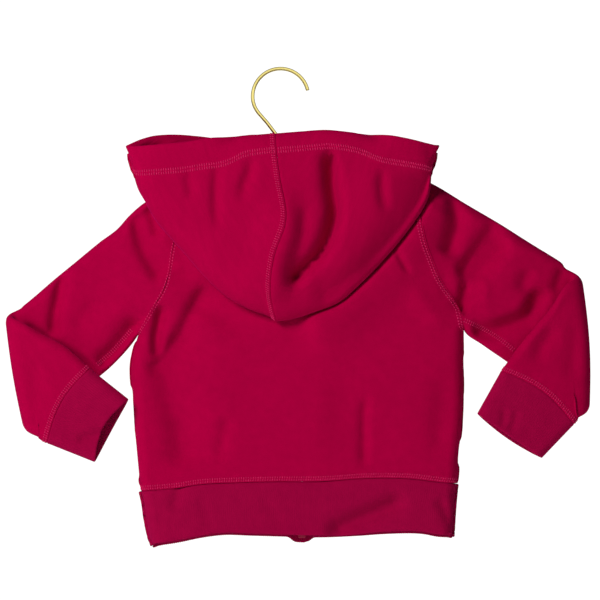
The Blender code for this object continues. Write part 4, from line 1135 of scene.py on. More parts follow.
@dataclass(frozen=True)
class KnitFinish(Finish):
    """Brushed cotton jersey: fine wales along the cut, a soft nap and faint mottling."""

    wale: float = 1.1
    course_share: float = 0.8
    bump: float = 0.12
    sheen: float = 0.18
    sheen_tint: tuple[float, ...] = (0.9, 0.02, 0.35, 1)
    mottle_scale: float = 95.0
    nap_scale: float = 900.0
    cloud_scale: float = 14.0

    def material(self) -> Material:
        """Make the material.

        Returns:
            The material.
        """
        nodes = Nodes(self.name)
        place = nodes.place("UV")
        split = nodes.add("SeparateXYZ")
        nodes.join(place, split.inputs[0])
        nap = nodes.noise(place, self.nap_scale, 3.0, 0.7)
        grain = nodes.maths("MULTIPLY", nodes.noise(place, self.mottle_scale, 5.0, 0.62), 0.45)
        for part, weight in ((nap, 0.35), (nodes.noise(place, self.cloud_scale, 2.0), 0.2)):
            grain = nodes.maths("ADD", grain, nodes.maths("MULTIPLY", part, weight))
        nodes.tint(grain, (0.36, 0.66), self)
        wales = nodes.waves(split.outputs[0], self.wale * MM)
        courses = nodes.waves(split.outputs[1], self.course_share * self.wale * MM)
        loops = nodes.maths("ADD", wales, nodes.maths("MULTIPLY", courses, 0.5))
        loops = nodes.maths("MULTIPLY", loops, 0.25)
        nodes.emboss(nodes.maths("ADD", loops, nodes.maths("MULTIPLY", nap, 1.4)), self.bump, 0.0006)
        nodes.gloss(nap, 0.12, 0.84)
        return nodes.set(sheen_weight=self.sheen, sheen_roughness=0.45, specular_ior_level=0.02,
                         sheen_tint=self.sheen_tint)


@dataclass(frozen=True)
class SmoothFinish(Finish):
    """Thread or moulded plastic: close to one colour, with a faint grain."""

    grain: float
    detail: float
    stops: tuple[float, float]
    bump: float
    roughness: float
    specular: float

    def material(self) -> Material:
        """Make the material.

        Returns:
            The material.
        """
        nodes = Nodes(self.name)
        noise = nodes.noise(nodes.place("Object"), self.grain, self.detail)
        nodes.tint(noise, self.stops, self)
        nodes.emboss(noise, self.bump)
        return nodes.set(roughness=self.roughness, specular_ior_level=self.specular)


@dataclass(frozen=True)
class TapeFinish(Finish):
    """Woven zip tape: fine diagonal herringbone."""

    thread: float = 0.7

    def material(self) -> Material:
        """Make the material.

        Returns:
            The material.
        """
        nodes = Nodes(self.name)
        split = nodes.add("SeparateXYZ")
        nodes.join(nodes.place("UV"), split.inputs[0])
        across = nodes.maths("PINGPONG", split.outputs[0], 3 * self.thread * MM)
        twill = nodes.maths("ADD", across, split.outputs[1])
        share = nodes.maths("MULTIPLY_ADD", nodes.waves(twill, self.thread * MM), 0.5, 0.5)
        nodes.tint(share, (0.2, 0.8), self)
        nodes.emboss(share, 0.4)
        return nodes.set(roughness=0.75, sheen_weight=0.15)


@dataclass(frozen=True)
class MetalFinish(Finish):
    """Drawn or cast metal with fine marks and uneven gloss."""

    roughness: float
    marks: float
    unevenness: float = 0.16

    def material(self) -> Material:
        """Make the material.

        Returns:
            The material.
        """
        nodes = Nodes(self.name)
        place = nodes.place("Object")
        fine = nodes.noise(place, self.marks * 14, 2.0)
        nodes.tint(nodes.noise(place, self.marks, 4.0, 0.6), (0.3, 0.7), self)
        nodes.gloss(fine, self.unevenness, self.roughness - self.unevenness / 2)
        nodes.emboss(fine, 0.06)
        return nodes.set(metallic=1.0)


FLEECE_FINISH = KnitFinish("fleece", (0.440, 0.0, 0.050), (0.365, 0.0, 0.042))
RIB_FINISH = KnitFinish("rib_knit", (0.370, 0.0020, 0.050), (0.305, 0.0010, 0.042), wale=0.9, bump=0.16)
THREAD = SmoothFinish("stitching", (0.72, 0.026, 0.150), (0.58, 0.013, 0.105), grain=420.0, detail=2.0,
                      stops=(0.35, 0.65), bump=0.2, roughness=0.6, specular=0.08)
TAPE = TapeFinish("woven_tape", (0.36, 0.003, 0.045), (0.24, 0.002, 0.032))
TEETH = SmoothFinish("zip_teeth", (0.40, 0.004, 0.050), (0.33, 0.003, 0.042), grain=300.0, detail=3.0,
                     stops=(0.3, 0.7), bump=0.05, roughness=0.5, specular=0.25)
STEEL = MetalFinish("slider_steel", (0.62, 0.60, 0.57), (0.42, 0.40, 0.38), 0.34, 260.0)
BRASS = MetalFinish("brass_wire", (0.62, 0.53, 0.18), (0.56, 0.46, 0.15), 0.24, 70.0)


# ---- body ----


@dataclass
class Body:
    """The back panel, the two fronts and the waistband."""

    rows: int = 150
    columns: int = 150
    band_clear: float = 1.4
    band_rows: int = 26
    band_columns: int = 1200

    def _edge(self, face: Face, side: Side, row: np.ndarray) -> np.ndarray:
        """Points of a panel's side: up the side seam, then up the raglan seam.

        Args:
            face: the panel's layer.
            side: the side.
            row: places along it, from 0 at the waist seam.

        Returns:
            The points.
        """
        low = CUT.side_seam[side].at(np.minimum(row / SIDE_PART, 1))
        share = 1 - np.clip((row - SIDE_PART) / CAP_PART, 0, 1)
        cap = CUT.raglan(face, side, share, -CLEAR * near_underarm(share))
        seam = stacked(low[..., 0], face.value * CLEAR, low[..., 1])
        return np.where((row <= SIDE_PART)[..., None], seam, cap)

    def _filled(self, face: Face, side: Side, columns: tuple[np.ndarray, np.ndarray],
                edges: Sequence[np.ndarray], corners: Sequence[Spot]) -> np.ndarray:
        """Fill a panel between its edges and let it curve to the waist seam and to the neck seam.

        Args:
            face: the panel's layer.
            side: the side whose half of the neck seam is read.
            columns: the columns' shares of the way between the edges, at the neck and at the waist.
            edges: the points of both edges.
            corners: where both edges meet the waist seam, then where both meet the neck seam.

        Returns:
            The panel's grid.
        """
        row = self._rows()[:, None]
        to_neck, to_waist = ease((row - SIDE_PART) / CAP_PART), 1 - ease(row / SIDE_PART)
        share = mix(columns[0][None, :], columns[1][None, :], 1 - to_neck)
        near, far = (edge[:, None] for edge in edges)
        x, z = mix(near[..., 0], far[..., 0], share), mix(near[..., 2], far[..., 2], share)
        foot_x, foot_z, top_x, top_z = (mix(corners[first][axis], corners[first + 1][axis], share)
                                        for first in (0, 2) for axis in (0, 1))
        z = z + to_waist * (CUT.waist.read(foot_x)[..., 1] - foot_z)
        angle = CUT.neck_angle(top_x)
        seam = CUT.neck(side, 180 - angle if face == Face.BACK else angle)
        z = z + to_neck ** NECK_PULL_POWER * (seam[..., 2] - top_z)
        return stacked(x, face.value * CUT.depth(x, z, face), z)

    def _rows(self) -> np.ndarray:
        """The rows' places, from 0 at the waist seam."""
        return np.linspace(0, SIDE_PART + CAP_PART, self.rows)

    def back(self) -> Sheet:
        """Work out the back panel, waist seam to neck, wearer's left to right.

        Returns:
            The panel.
        """
        edges = [self._edge(Face.BACK, side, self._rows()) for side in Side]
        even = np.linspace(0, 1, self.columns)
        corners = (WAIST[0], WAIST[-1], RAGLAN[(Face.BACK, Side.LEFT)][0], RAGLAN[(Face.BACK, Side.RIGHT)][0])
        points = self._filled(Face.BACK, Side.RIGHT, (even, bunched(even)), edges, corners)
        points[:, 0], points[:, -1] = edges
        points[0, :, 2] += CLEAR
        return Sheet("back_cloth", points, points[..., [0, 2]], FLEECE)

    def front(self, side: Side) -> Sheet:
        """Work out one front panel, waist seam to neck, side seam to zip.

        Args:
            side: the side.

        Returns:
            The panel.
        """
        edge = self._edge(Face.FRONT, side, self._rows())
        run = running(edge, 0)
        zip_foot = ZIP_BOTTOM_X + side.value * ZIP_GAP_HALF
        foot_z = CUT.waist.read(zip_foot)[1]
        top = CUT.neck(side, CUT.neck_angle(CENTRE_X + ZIP_GAP_HALF))
        slit_z = mix(foot_z, top[2], run / run[-1])
        slit = stacked(CUT.zip_x(slit_z) + side.value * ZIP_GAP_HALF, 0.0, slit_z)
        corners = (SIDE_SEAM[side][0], Spot(zip_foot, foot_z), RAGLAN[(Face.FRONT, side)][0],
                   Spot(top[0], top[2]))
        even = np.linspace(0, 1, self.columns // 2)
        points = self._filled(Face.FRONT, side, (even, 1 - np.cos(math.pi / 2 * even)), (edge, slit), corners)
        points[:, 0] = edge
        points[0, :, 2] += CLEAR
        sheet = Sheet(f"front_cloth_{side.label}", points, points[..., [0, 2]], FLEECE,
                      flip=side == Side.LEFT)
        sheet.trim(FLEECE / 2, column=-1)
        return sheet

    def band(self) -> Sheet:
        """The waistband from its seam down, round from one side of the zip to the other.

        Returns:
            The waistband.
        """
        drop = np.linspace(0, 1, self.band_rows)[:, None]
        width = WAIST[-1].x - WAIST[0].x
        zip_share = {side: (ZIP_BOTTOM_X + side.value * ZIP_GAP_HALF - WAIST[0].x) / width for side in Side}
        turn = np.linspace(1, 0, BAND_FRONT_STEPS)
        front = 1 - np.cos(math.pi / 2 * turn)
        behind = bunched(np.linspace(1, 0, BAND_BACK_STEPS))[1:-1]
        shares = np.concatenate([mix(1, zip_share[Side.RIGHT], front), behind,
                                 mix(0, zip_share[Side.LEFT], front[::-1])])[None, :]
        on_back = np.zeros(shares.shape, bool)
        on_back[:, BAND_FRONT_STEPS:-BAND_FRONT_STEPS] = True
        left, right = CUT.band_side[Side.LEFT].at(drop), CUT.band_side[Side.RIGHT].at(drop)
        x = mix(left[..., 0], right[..., 0], shares)
        hem_x = mix(HEM_LINE[0].x, HEM_LINE[-1].x, shares)
        front_drop = np.where(on_back, -BACK_HEM_RISE, FRONT_HEM_DROP)
        seam_x = mix(WAIST[0].x, WAIST[-1].x, shares)
        seam_z = CUT.waist.read(seam_x)[..., 1] - self.band_clear
        z = mix(seam_z, CUT.hem.read(hem_x)[..., 1] - front_drop, drop)
        for column, side in ((0, Side.RIGHT), (-1, Side.LEFT)):
            x[:, column] = CUT.zip_x(z[:, column]) + side.value * ZIP_GAP_HALF
        to_slit = x - CUT.zip_x(z)
        closed = np.exp(-(to_slit / ZIP_END_CLOSE_OVER) ** 2 / 2 + ZIP_END_SPREAD)
        closed = closed * ease((drop - ZIP_END_FROM) / ZIP_END_EASE)
        x = x - np.where(on_back, 0, np.sign(to_slit) * ZIP_END_CLOSE * np.clip(closed, 0, 1))
        near_zip = np.exp(-((x - ZIP_BOTTOM_X - ZIP_END_OFF) / ZIP_END_REACH) ** 4 / 2)
        z = z - np.where(on_back, 0, ZIP_END_DROP * near_zip * drop)
        share = rounded(CUT.reach(x, z), EDGE_ROUND)
        flat_depth = CUT.depth(x, z, Face.BACK, folds=False)
        back = -flat_depth - fold_relief(BAND_FOLDS[Face.BACK], x, z) * share ** 2
        fore = flat_depth + fold_relief(BAND_FOLDS[Face.FRONT], x, z) * share ** 2
        rows = stacked(x, np.where(on_back, back, fore), z)
        points = np.array([spaced(row, self.band_columns - 1) for row in rows])
        flat = np.stack([running(points, 1), points[..., 2]], axis=-1)
        sheet = Sheet("waistband_cloth", points, flat, RIB)
        ribbed(sheet)
        sheet.trim(RIB / 2, row=-1)
        sheet.trim(RIB / 2, column=0)
        sheet.trim(RIB / 2, column=-1)
        return sheet


@dataclass
class Sleeve:
    """One sleeve, folded at the elbow towards the hood side, and its cuff."""

    side: Side
    cap_rows: int = 60
    around: int = 46
    step: float = 2.6
    cuff_clear: float = 1.8
    cuff_rows: int = 22
    cuff_columns: int = 330

    def _shares(self) -> tuple[np.ndarray, np.ndarray]:
        """The columns' layer, -1 back and 1 front, and share of the way down each."""
        turn = np.linspace(-1, 1, 2 * self.around + 1)
        return np.where(turn < 0, -1, 1), bunched(np.abs(turn))

    def _cap(self) -> np.ndarray:
        """Rings from the neck to the underarm, with the outward way and the two fold weights.

        Returns:
            A grid whose points have their place, the way that folds lift them and both weights.
        """
        layer, down = self._shares()
        share = np.linspace(0, 1, self.cap_rows)[:, None]
        top = CUT.shoulder[self.side].at(share)
        from_neck = ease(share / NECK_FADE)
        rings = np.zeros((self.cap_rows, len(down), 3))
        for face in Face:
            on = layer == face.value
            here = down[on][None, :]
            shift = CLEAR * near_underarm(share[:, 0])
            end = CUT.raglan(face, self.side, share[:, 0], shift)[:, None]
            start, stop = SHOULDER[self.side][0], RAGLAN[(face, self.side)][0]
            seam = CUT.neck(self.side, mix(90, RAGLAN_ANGLE[face], here))
            pull_x = seam[..., 0] - mix(start.x, stop.x, here)
            pull_z = seam[..., 2] - mix(start.z, stop.z, here)
            x = mix(top[..., 0], end[..., 0], here) + (1 - from_neck) * pull_x
            z = mix(top[..., 1], end[..., 2], here) + (1 - from_neck) * pull_z
            part = stacked(x, face.value * CUT.depth(x, z, face, folds=False), z)
            part[0] = seam
            last = -1 if face == Face.FRONT else 0
            part[1:, last] = end[1:, 0]
            rings[:, on] = part
        rings[:, self.around, 1] = 0
        rings[-1, 0] = rings[-1, -1] = rings[-1, 0] * (1, 0, 1)
        weight = rounded(CUT.reach(rings[..., 0], rings[..., 2]), EDGE_ROUND) ** 2
        way = stacked(0.0, weight * layer, 0.0)
        upper = np.ones(weight.shape + (1,))
        return np.concatenate([rings, way, upper, 0 * upper], axis=-1)

    def _ring(self, cross: Cross, centre_y: float, turn: float, shift: float = 0.0) -> np.ndarray:
        """One ring of the flattened sleeve, which has turned so far round the elbow's crease.

        Args:
            cross: the line across the sleeve.
            centre_y: its middle's y.
            turn: how far it has turned, in degrees.
            shift: how far it is moved inwards.

        Returns:
            One row for each column: its place, the way that folds lift it and the two fold weights.
        """
        layer, down = self._shares()
        sign, angle = self.side.value, math.radians(turn)
        front_way = np.array((sign * math.sin(angle), math.cos(angle), 0.0))
        top = np.array((cross.top_x, centre_y, cross.top_z))
        run = np.array((cross.end_x, centre_y, cross.end_z)) - top
        length = np.linalg.norm(run)
        outwards = np.array((-run[2], 0, run[0])) / length * sign
        reach = np.minimum(down, 1 - down) * length
        bow = np.where(layer < 0, cross.bow_back, cross.bow_front)
        rise = layer * cross.half * rounded(reach, SLEEVE_ROUND)
        ring = (top + run * down[:, None] + front_way * rise[:, None]
                + outwards * (bow * np.sin(math.pi * down) - shift)[:, None])
        way = front_way * (layer * rounded(reach, SLEEVE_ROUND) ** 2)[:, None]
        lower = float(ease((turn - 90) / 90))
        weights = np.broadcast_to((float(ease(1 - turn / 90)), lower), (len(down), 2))
        return np.concatenate([ring, way, weights], axis=-1)

    def _elbow(self) -> list[np.ndarray]:
        """Rings round the crease at the elbow.

        Returns:
            The rings, in the form of _ring.
        """
        rings = []
        for turn in np.linspace(0, 180, ELBOW_STEPS):
            angle = math.radians(turn)
            shift = np.array((self.side.value * math.sin(angle), math.cos(angle) - 1, 0)) * ELBOW_RADIUS
            cross = Cross(*mix(*np.array(ELBOW[self.side]), turn / 180))
            ring = self._ring(cross, 0.0, turn)
            ring[:, :3] += shift
            rings.append(ring)
        return rings

    def sheet(self) -> Sheet:
        """The sleeve from the neck to the cuff seam.

        Returns:
            The sleeve.
        """
        cap = self._cap()
        keys = [cap[CAP_KEY], cap[-1]]
        keys += [self._ring(cross, 0.0, 0.0) for cross in UPPER_SLEEVE[self.side]]
        keys += self._elbow()
        keys += [self._ring(cross, -2 * ELBOW_RADIUS, 180.0) for cross in FOREARM[self.side]]
        keys = np.array(keys)
        middles = keys[:, [self.around // 2, -self.around // 2 - 1], :3].mean(axis=1)
        knots = running(middles, 0)
        places = evenly(knots, self.step, knots[1])
        rings = np.concatenate([cap[:-1], lofted(keys, knots[:, None, None], places)])
        points, way, upper, lower = rings[..., :3], rings[..., 3:6], rings[..., 6], rings[..., 7]
        layer, down = self._shares()
        x, z = points[..., 0], points[..., 2]
        back, front = (CUT.relief(x, z, face) for face in (Face.BACK, Face.FRONT))
        near = fold_relief(FOREARM_FOLDS[self.side], x, z) + drape(x, z, FOREARM_SEED)
        heights = upper * np.where(layer < 0, back, front) + lower * np.where(layer < 0, 0.0, near)
        points = points + way * heights[..., None]
        points[:, [0, -1]] = rings[:, [0, -1], :3]
        along = running(points[:, self.around // 2:self.around // 2 + 1], 0)[:, :1]
        width = np.linalg.norm(points[:, self.around] - points[:, 0], axis=-1)[:, None]
        flat = np.stack(np.broadcast_arrays(width * down * layer, along), axis=-1)
        self._close_raglan(points)
        return Sheet(f"sleeve_cloth_{self.side.label}", points, flat, FLEECE, flip=self.side == Side.RIGHT)

    def _close_raglan(self, points: np.ndarray) -> None:
        """Put the cap's two raglan edges back on the folded surface that the panels share.

        Args:
            points: the sleeve's grid, which is changed.
        """
        share = np.linspace(0, 1, self.cap_rows)[:-1]
        for face, column in ((Face.BACK, 0), (Face.FRONT, -1)):
            seam = CUT.raglan(face, self.side, share, CLEAR * near_underarm(share))
            points[1:self.cap_rows - 1, column] = seam[1:]

    def cuff(self) -> Sheet:
        """The cuff from its seam to its mouth.

        Returns:
            The cuff.
        """
        seam, mouth = np.array(FOREARM[self.side][-1]), np.array(CUFF_MOUTH[self.side])
        layer, down = self._shares()
        rings = []
        for share in np.linspace(0, 1, self.cuff_rows):
            shift = mix(self.cuff_clear, 0.0, ease(share / CUFF_SEAM_OVER))
            ring = self._ring(Cross(*mix(seam, mouth, share)), -2 * ELBOW_RADIUS, 180.0, shift)
            x, z = ring[:, 0], ring[:, 2]
            heights = np.where(layer < 0, 0.0, fold_relief(CUFF_FOLDS[self.side], x, z))
            rings.append(ring[:, :3] + ring[:, 3:6] * heights[:, None])
        points = np.array([spaced(ring, self.cuff_columns - 1) for ring in rings])
        along = running(points[:, :1], 0)
        flat = np.stack(np.broadcast_arrays(running(points, 1), along), axis=-1)
        sheet = Sheet(f"cuff_cloth_{self.side.label}", points, flat, RIB, flip=self.side == Side.RIGHT)
        ribbed(sheet)
        sheet.points[:, -1] = sheet.points[:, 0]
        sheet.trim(RIB / 2, row=-1)
        return sheet


@dataclass
class Hood:
    """One half of the hood: rolled over at the neck, down the back, round its fold, up to the face edge."""

    side: Side
    columns: int = 110
    step: float = 2.3
    roll_length: float = 16.0
    roll_turn: float = 150.0
    roll_steps: int = 6
    roll_middle: float = 22.0
    roll_half: float = 33.0
    roll_fade: float = 62.0
    roll_bends: float = 4.5

    def _angles(self) -> np.ndarray:
        """Even angles round the neck, from the zip to the centre back."""
        return mix(float(CUT.neck_angle(CENTRE_X + ZIP_GAP_HALF)), 180.0, np.linspace(0, 1, self.columns))

    def _roll(self, start: np.ndarray, angle: float) -> list[np.ndarray]:
        """Points from the neck seam up and over to where the hood starts to lie on the back.

        Args:
            start: the point of the neck seam.
            angle: its angle.

        Returns:
            The points.
        """
        roll = Roll(*Curve(ROLLS, by="angle").read(angle))
        lie = np.array((start[0] + self.side.value * roll.outward, roll.y, start[2] + roll.rise))
        lean = mix(start, lie, LEAN_SHARE)
        lean[2] = start[2] + LEAN_RISE
        over = mix(start, lie, 0.5)
        over[2] = max(start[2], lie[2]) + ROLL_CROWN
        return [start, start + (0, 0, ROLL_UP), lean, over, lie]

    def _back(self, angle: float) -> np.ndarray:
        """Key points behind the shoulder; the fourth column is the reach above the fold, if any.

        Args:
            angle: the angle round the neck.

        Returns:
            One row for each point.
        """
        share = (angle - 90) / 90
        start = CUT.neck(self.side, angle) + (0, 0, SEAM)
        points = self._roll(start, angle)
        lie = points[-1]
        fold = Curve(HOOD_FOLD[self.side]).at(share)
        edge = Curve(FACE_EDGE[self.side]).at(share)
        far_end = np.array((fold[0], FAR_Y, fold[1]))
        for part in FAR_SHARES:
            point = mix(lie, far_end, part)
            point[1] = mix(lie[1], FAR_Y, ease(part / LIE_SHARE))
            points.append(point)
        points.append(far_end + unit(lie - far_end) * FOLD_TURN)
        low = np.array((fold[0], FOLD_Y, fold[1]))
        points.append(low)
        keys = [np.append(point, 0.0) for point in points]
        up = np.array((edge[0] - fold[0], 0, edge[1] - fold[1]))
        length = np.linalg.norm(up)
        rolled = self._rolled_edge(float(edge[0]), min(self.roll_length, 0.5 * length))
        hem = 1 - rolled[:, 1].max() / length
        for part in [min(FOLD_STEP / length, FOLD_STEP_LIMIT), *(part * hem for part in NEAR_SHARES), hem]:
            point = low + up * part
            seam_x = Curve(CENTRE_SEAM[::-1], by="z").read(point[2])[0]
            point[0] += (seam_x - mix(CENTRE_SEAM[-1].x, CENTRE_SEAM[0].x, part)) * share ** SEAM_PULL_POWER
            point[1] = Curve(NEAR_DEPTH, by="reach").read(part * length)[1]
            keys.append(np.append(point, part * length))
        for inwards, rise in rolled:
            keys.append(np.append(point + (0, inwards, 0) + up / length * rise, length))
        return np.array(keys)

    def _rolled_edge(self, x: float, length: float) -> np.ndarray:
        """How the last of the hood runs up to its face edge and, about the middle, rolls over it.

        Args:
            x: where along the edge.
            length: length of cloth that may roll.

        Returns:
            For each point how far it is inwards and up from where the rolling starts.
        """
        away = (abs(x - self.roll_middle) - self.roll_half) / self.roll_fade
        turn = math.radians(self.roll_turn) * float(ease(1 - away))
        step = length / self.roll_steps
        angle = turn * np.minimum(np.arange(self.roll_steps) + 0.5, self.roll_bends) / self.roll_bends
        return np.cumsum(np.stack([np.sin(angle), np.cos(angle)], axis=-1) * step, axis=0)

    def _front(self, angle: float) -> np.ndarray:
        """Key points in front of the shoulder.

        Args:
            angle: the angle round the neck.

        Returns:
            One row for each point, with an empty fourth column.
        """
        start = CUT.neck(self.side, angle) + (0, 0, SEAM)
        points = self._roll(start, angle)
        lie = points[-1]
        edge = Curve(FACE_EDGE_FRONT[self.side], by="angle").read(angle)[1:]
        tail = self._back(90.0)[len(points) - 1:, :3]
        run = running(tail, 0) / running(tail, 0)[-1]
        even = ease((90 - angle) / EVEN_OVER)
        fade = max(0.0, 1 - (90 - angle) / BEND_FADE)
        for step in range(1, len(tail)):
            share = mix(run[step], step / (len(tail) - 1), EVEN_SHARE * even)
            bend = tail[step] - mix(tail[0], tail[-1], run[step])
            points.append(mix(lie, edge, share) + bend * fade)
        return np.array([np.append(point, 0.0) for point in points])

    def sheet(self) -> Sheet:
        """The half hood from the neck seam to the face edge, zip to centre back.

        Returns:
            The half hood.
        """
        angles = self._angles()
        keys = np.array([self._back(angle) if angle >= 90 else self._front(angle) for angle in angles])
        runs = running(keys[..., :3], 1)
        keys = keys.transpose(1, 0, 2)
        grid = lofted(keys, runs.T[..., None], evenly(runs.mean(axis=0), self.step))
        points, reach = grid[..., :3], grid[..., 3]
        x, z = points[..., 0], points[..., 2]
        over = ease((reach - HOOD_FOLDS_FROM) / HOOD_FOLDS_OVER) * (angles >= 90)[None, :]
        to_edge = running(points[::-1], 0)[::-1]
        held = ease((to_edge + HEM_HOLD) / HEM_DEPTH)
        relief = fold_relief(HOOD_FOLDS[self.side], x, z) + drape(x, z, HOOD_SEED + self.side.value)
        points[..., 1] -= over * held * relief
        points[:, -1, 0] += self.side.value * CLEAR
        points[:, -2, 0] += self.side.value * CLEAR * SEAM_TAPER
        wall = np.where(to_edge > HEM_DEPTH + HEM_MARGIN, FLEECE, HEM)
        flat = np.stack([x, running(points, 0)], axis=-1)
        sheet = Sheet(f"hood_cloth_{self.side.label}", points, flat, wall, flip=self.side == Side.RIGHT)
        sheet.cut_width = float(np.ptp(flat[..., 0]))
        sheet.trim(HEM / 2, row=-1)
        sheet.trim(FLEECE / 2, row=0)
        return sheet


# ---- sewing ----


@dataclass(frozen=True)
class Stitch:
    """The sizes of one coverstitch."""

    pitch: float
    row_radius: float
    rung_radius: float
    overhang: float = 0.28


DOTTED = Stitch(3.0, 0.6, 0.3)
LADDER = Stitch(2.4, 0.2, 0.44)
RUNGS = Stitch(2.4, 0.0, 0.5, 0.05)
UNDERARM_SEAM = {
    Side.LEFT: ((-148.3, -259), (-158, -270), (-170, -283), (-183.3, -294.5)),
    Side.RIGHT: ((183.2, -249.5), (194, -254), (205.4, -259.5), (219, -268), (234, -280)),
}
ROW_IN, ROW_OUT, HEM_ROW, HEM_ROWS_AT, ZIP_ROW = 0.9, 4.0, 3.2, HEM_DEPTH + 2, 3.0
SEAM_ROW = (ROW_OUT - ROW_IN) / 2


@dataclass
class Stitching:
    """Rows of thread on the cloth, collected and made as one mesh for each seam."""

    material: Material
    pitch: float = 2.5
    radius: float = 0.3
    arch: float = 0.22
    sink: float = 0.2
    rings: tuple[tuple[float, float], ...] = ((0.14, 0.7), (0.5, 1.0), (0.86, 0.7))
    sides: int = 4

    def _threads(self, first: np.ndarray, second: np.ndarray, radius: float) -> tuple[np.ndarray, list]:
        """Short arched threads from one set of points to another.

        Args:
            first: start of each thread: its place, then the outward direction there.
            second: its end, in the same form.
            radius: half its thickness.

        Returns:
            The corners of every thread and the faces of one.
        """
        run = unit(second[:, :3] - first[:, :3])
        up = unit(first[:, 3:] + second[:, 3:])
        across = unit(np.cross(run, up))
        corners = [first[:, :3] - up * self.sink]
        for share, size in self.rings:
            centre = mix(first[:, :3], second[:, :3], share) + up * self.arch * math.sin(math.pi * share)
            for turn in range(self.sides):
                angle = math.radians(turn * 360 / self.sides)
                way = up * math.cos(angle) + across * math.sin(angle)
                corners.append(centre + way * radius * size)
        corners.append(second[:, :3] - up * self.sink)
        faces = []
        last = 1 + self.sides * (len(self.rings) - 1)
        for turn in range(self.sides):
            after = (turn + 1) % self.sides
            faces.append((0, 1 + after, 1 + turn))
            for ring in range(1, last, self.sides):
                following = ring + self.sides
                faces.append((ring + turn, ring + after, following + after, following + turn))
            faces.append((last + turn, last + after, last + self.sides))
        return np.stack(corners, axis=1), faces

    def _mesh(self, name: str, parts: list[tuple[np.ndarray, list]]) -> Object:
        """Make one object from sets of threads.

        Args:
            name: its name.
            parts: the corners of each set's threads and the faces of one.

        Returns:
            The new object.
        """
        shapes = ((thread * MM, shape) for threads, shape in parts for thread in threads)
        piece = merged(name, shapes, self.material)
        piece.data.shade_smooth()
        return finished(piece, GARMENT)

    def cover(self, name: str, first: np.ndarray, second: np.ndarray, look: Stitch) -> Object:
        """A coverstitch: two rows of stitches and the threads laid across between them.

        Args:
            name: the piece's name.
            first: one row's line on the cloth.
            second: the other's.
            look: its sizes.

        Returns:
            The new object.
        """
        count = round(running(first[:, :3], 0)[-1] / look.pitch)
        one, two = spaced(first, 4 * count), spaced(second, 4 * count)
        parts = []
        if look.row_radius:
            parts += [self._threads(line[0:-4:4], line[2:-2:4], look.row_radius) for line in (one, two)]
        middle = mix(one, two, 0.5)[2::4]
        for end in (-look.overhang, 1 + look.overhang):
            parts.append(self._threads(mix(one, two, end)[2::4], middle, look.rung_radius))
        return self._mesh(name, parts)

    def plain(self, name: str, line: np.ndarray) -> Object:
        """A single row of stitches with short gaps between them.

        Args:
            name: the piece's name.
            line: the row's line on the cloth.

        Returns:
            The new object.
        """
        count = round(running(line[:, :3], 0)[-1] / self.pitch)
        ends = spaced(line, 4 * count)
        return self._mesh(name, [self._threads(ends[0:-4:4], ends[3::4], self.radius)])

    def cast(self, sheet: Sheet, path: Sequence[Sequence[float]], shift: float, face: Face) -> np.ndarray:
        """A line on a sheet under a path that is drawn on the flat garment.

        Args:
            sheet: the cloth.
            path: the path.
            shift: how far the line lies to the left of the path.
            face: the layer that it is on.

        Returns:
            One row for each point: its place, then the outward direction there.
        """
        tree = sheet.tree()
        samples, outside = 60, 100
        line = Curve(path).at(np.linspace(0, 1, samples))
        run = unit(np.gradient(line, axis=0))
        line = line + np.stack([-run[:, 1], run[:, 0]], axis=-1) * shift
        found = []
        for x, z in line:
            start, way = Vector((x, face.value * outside, z)), Vector((0, -face.value, 0))
            place, normal, _, _ = tree.ray_cast(start, way)
            if place is not None:
                outward = normal if normal.y * face.value > 0 else -normal
                found.append((*place, *outward))
        return np.array(found)


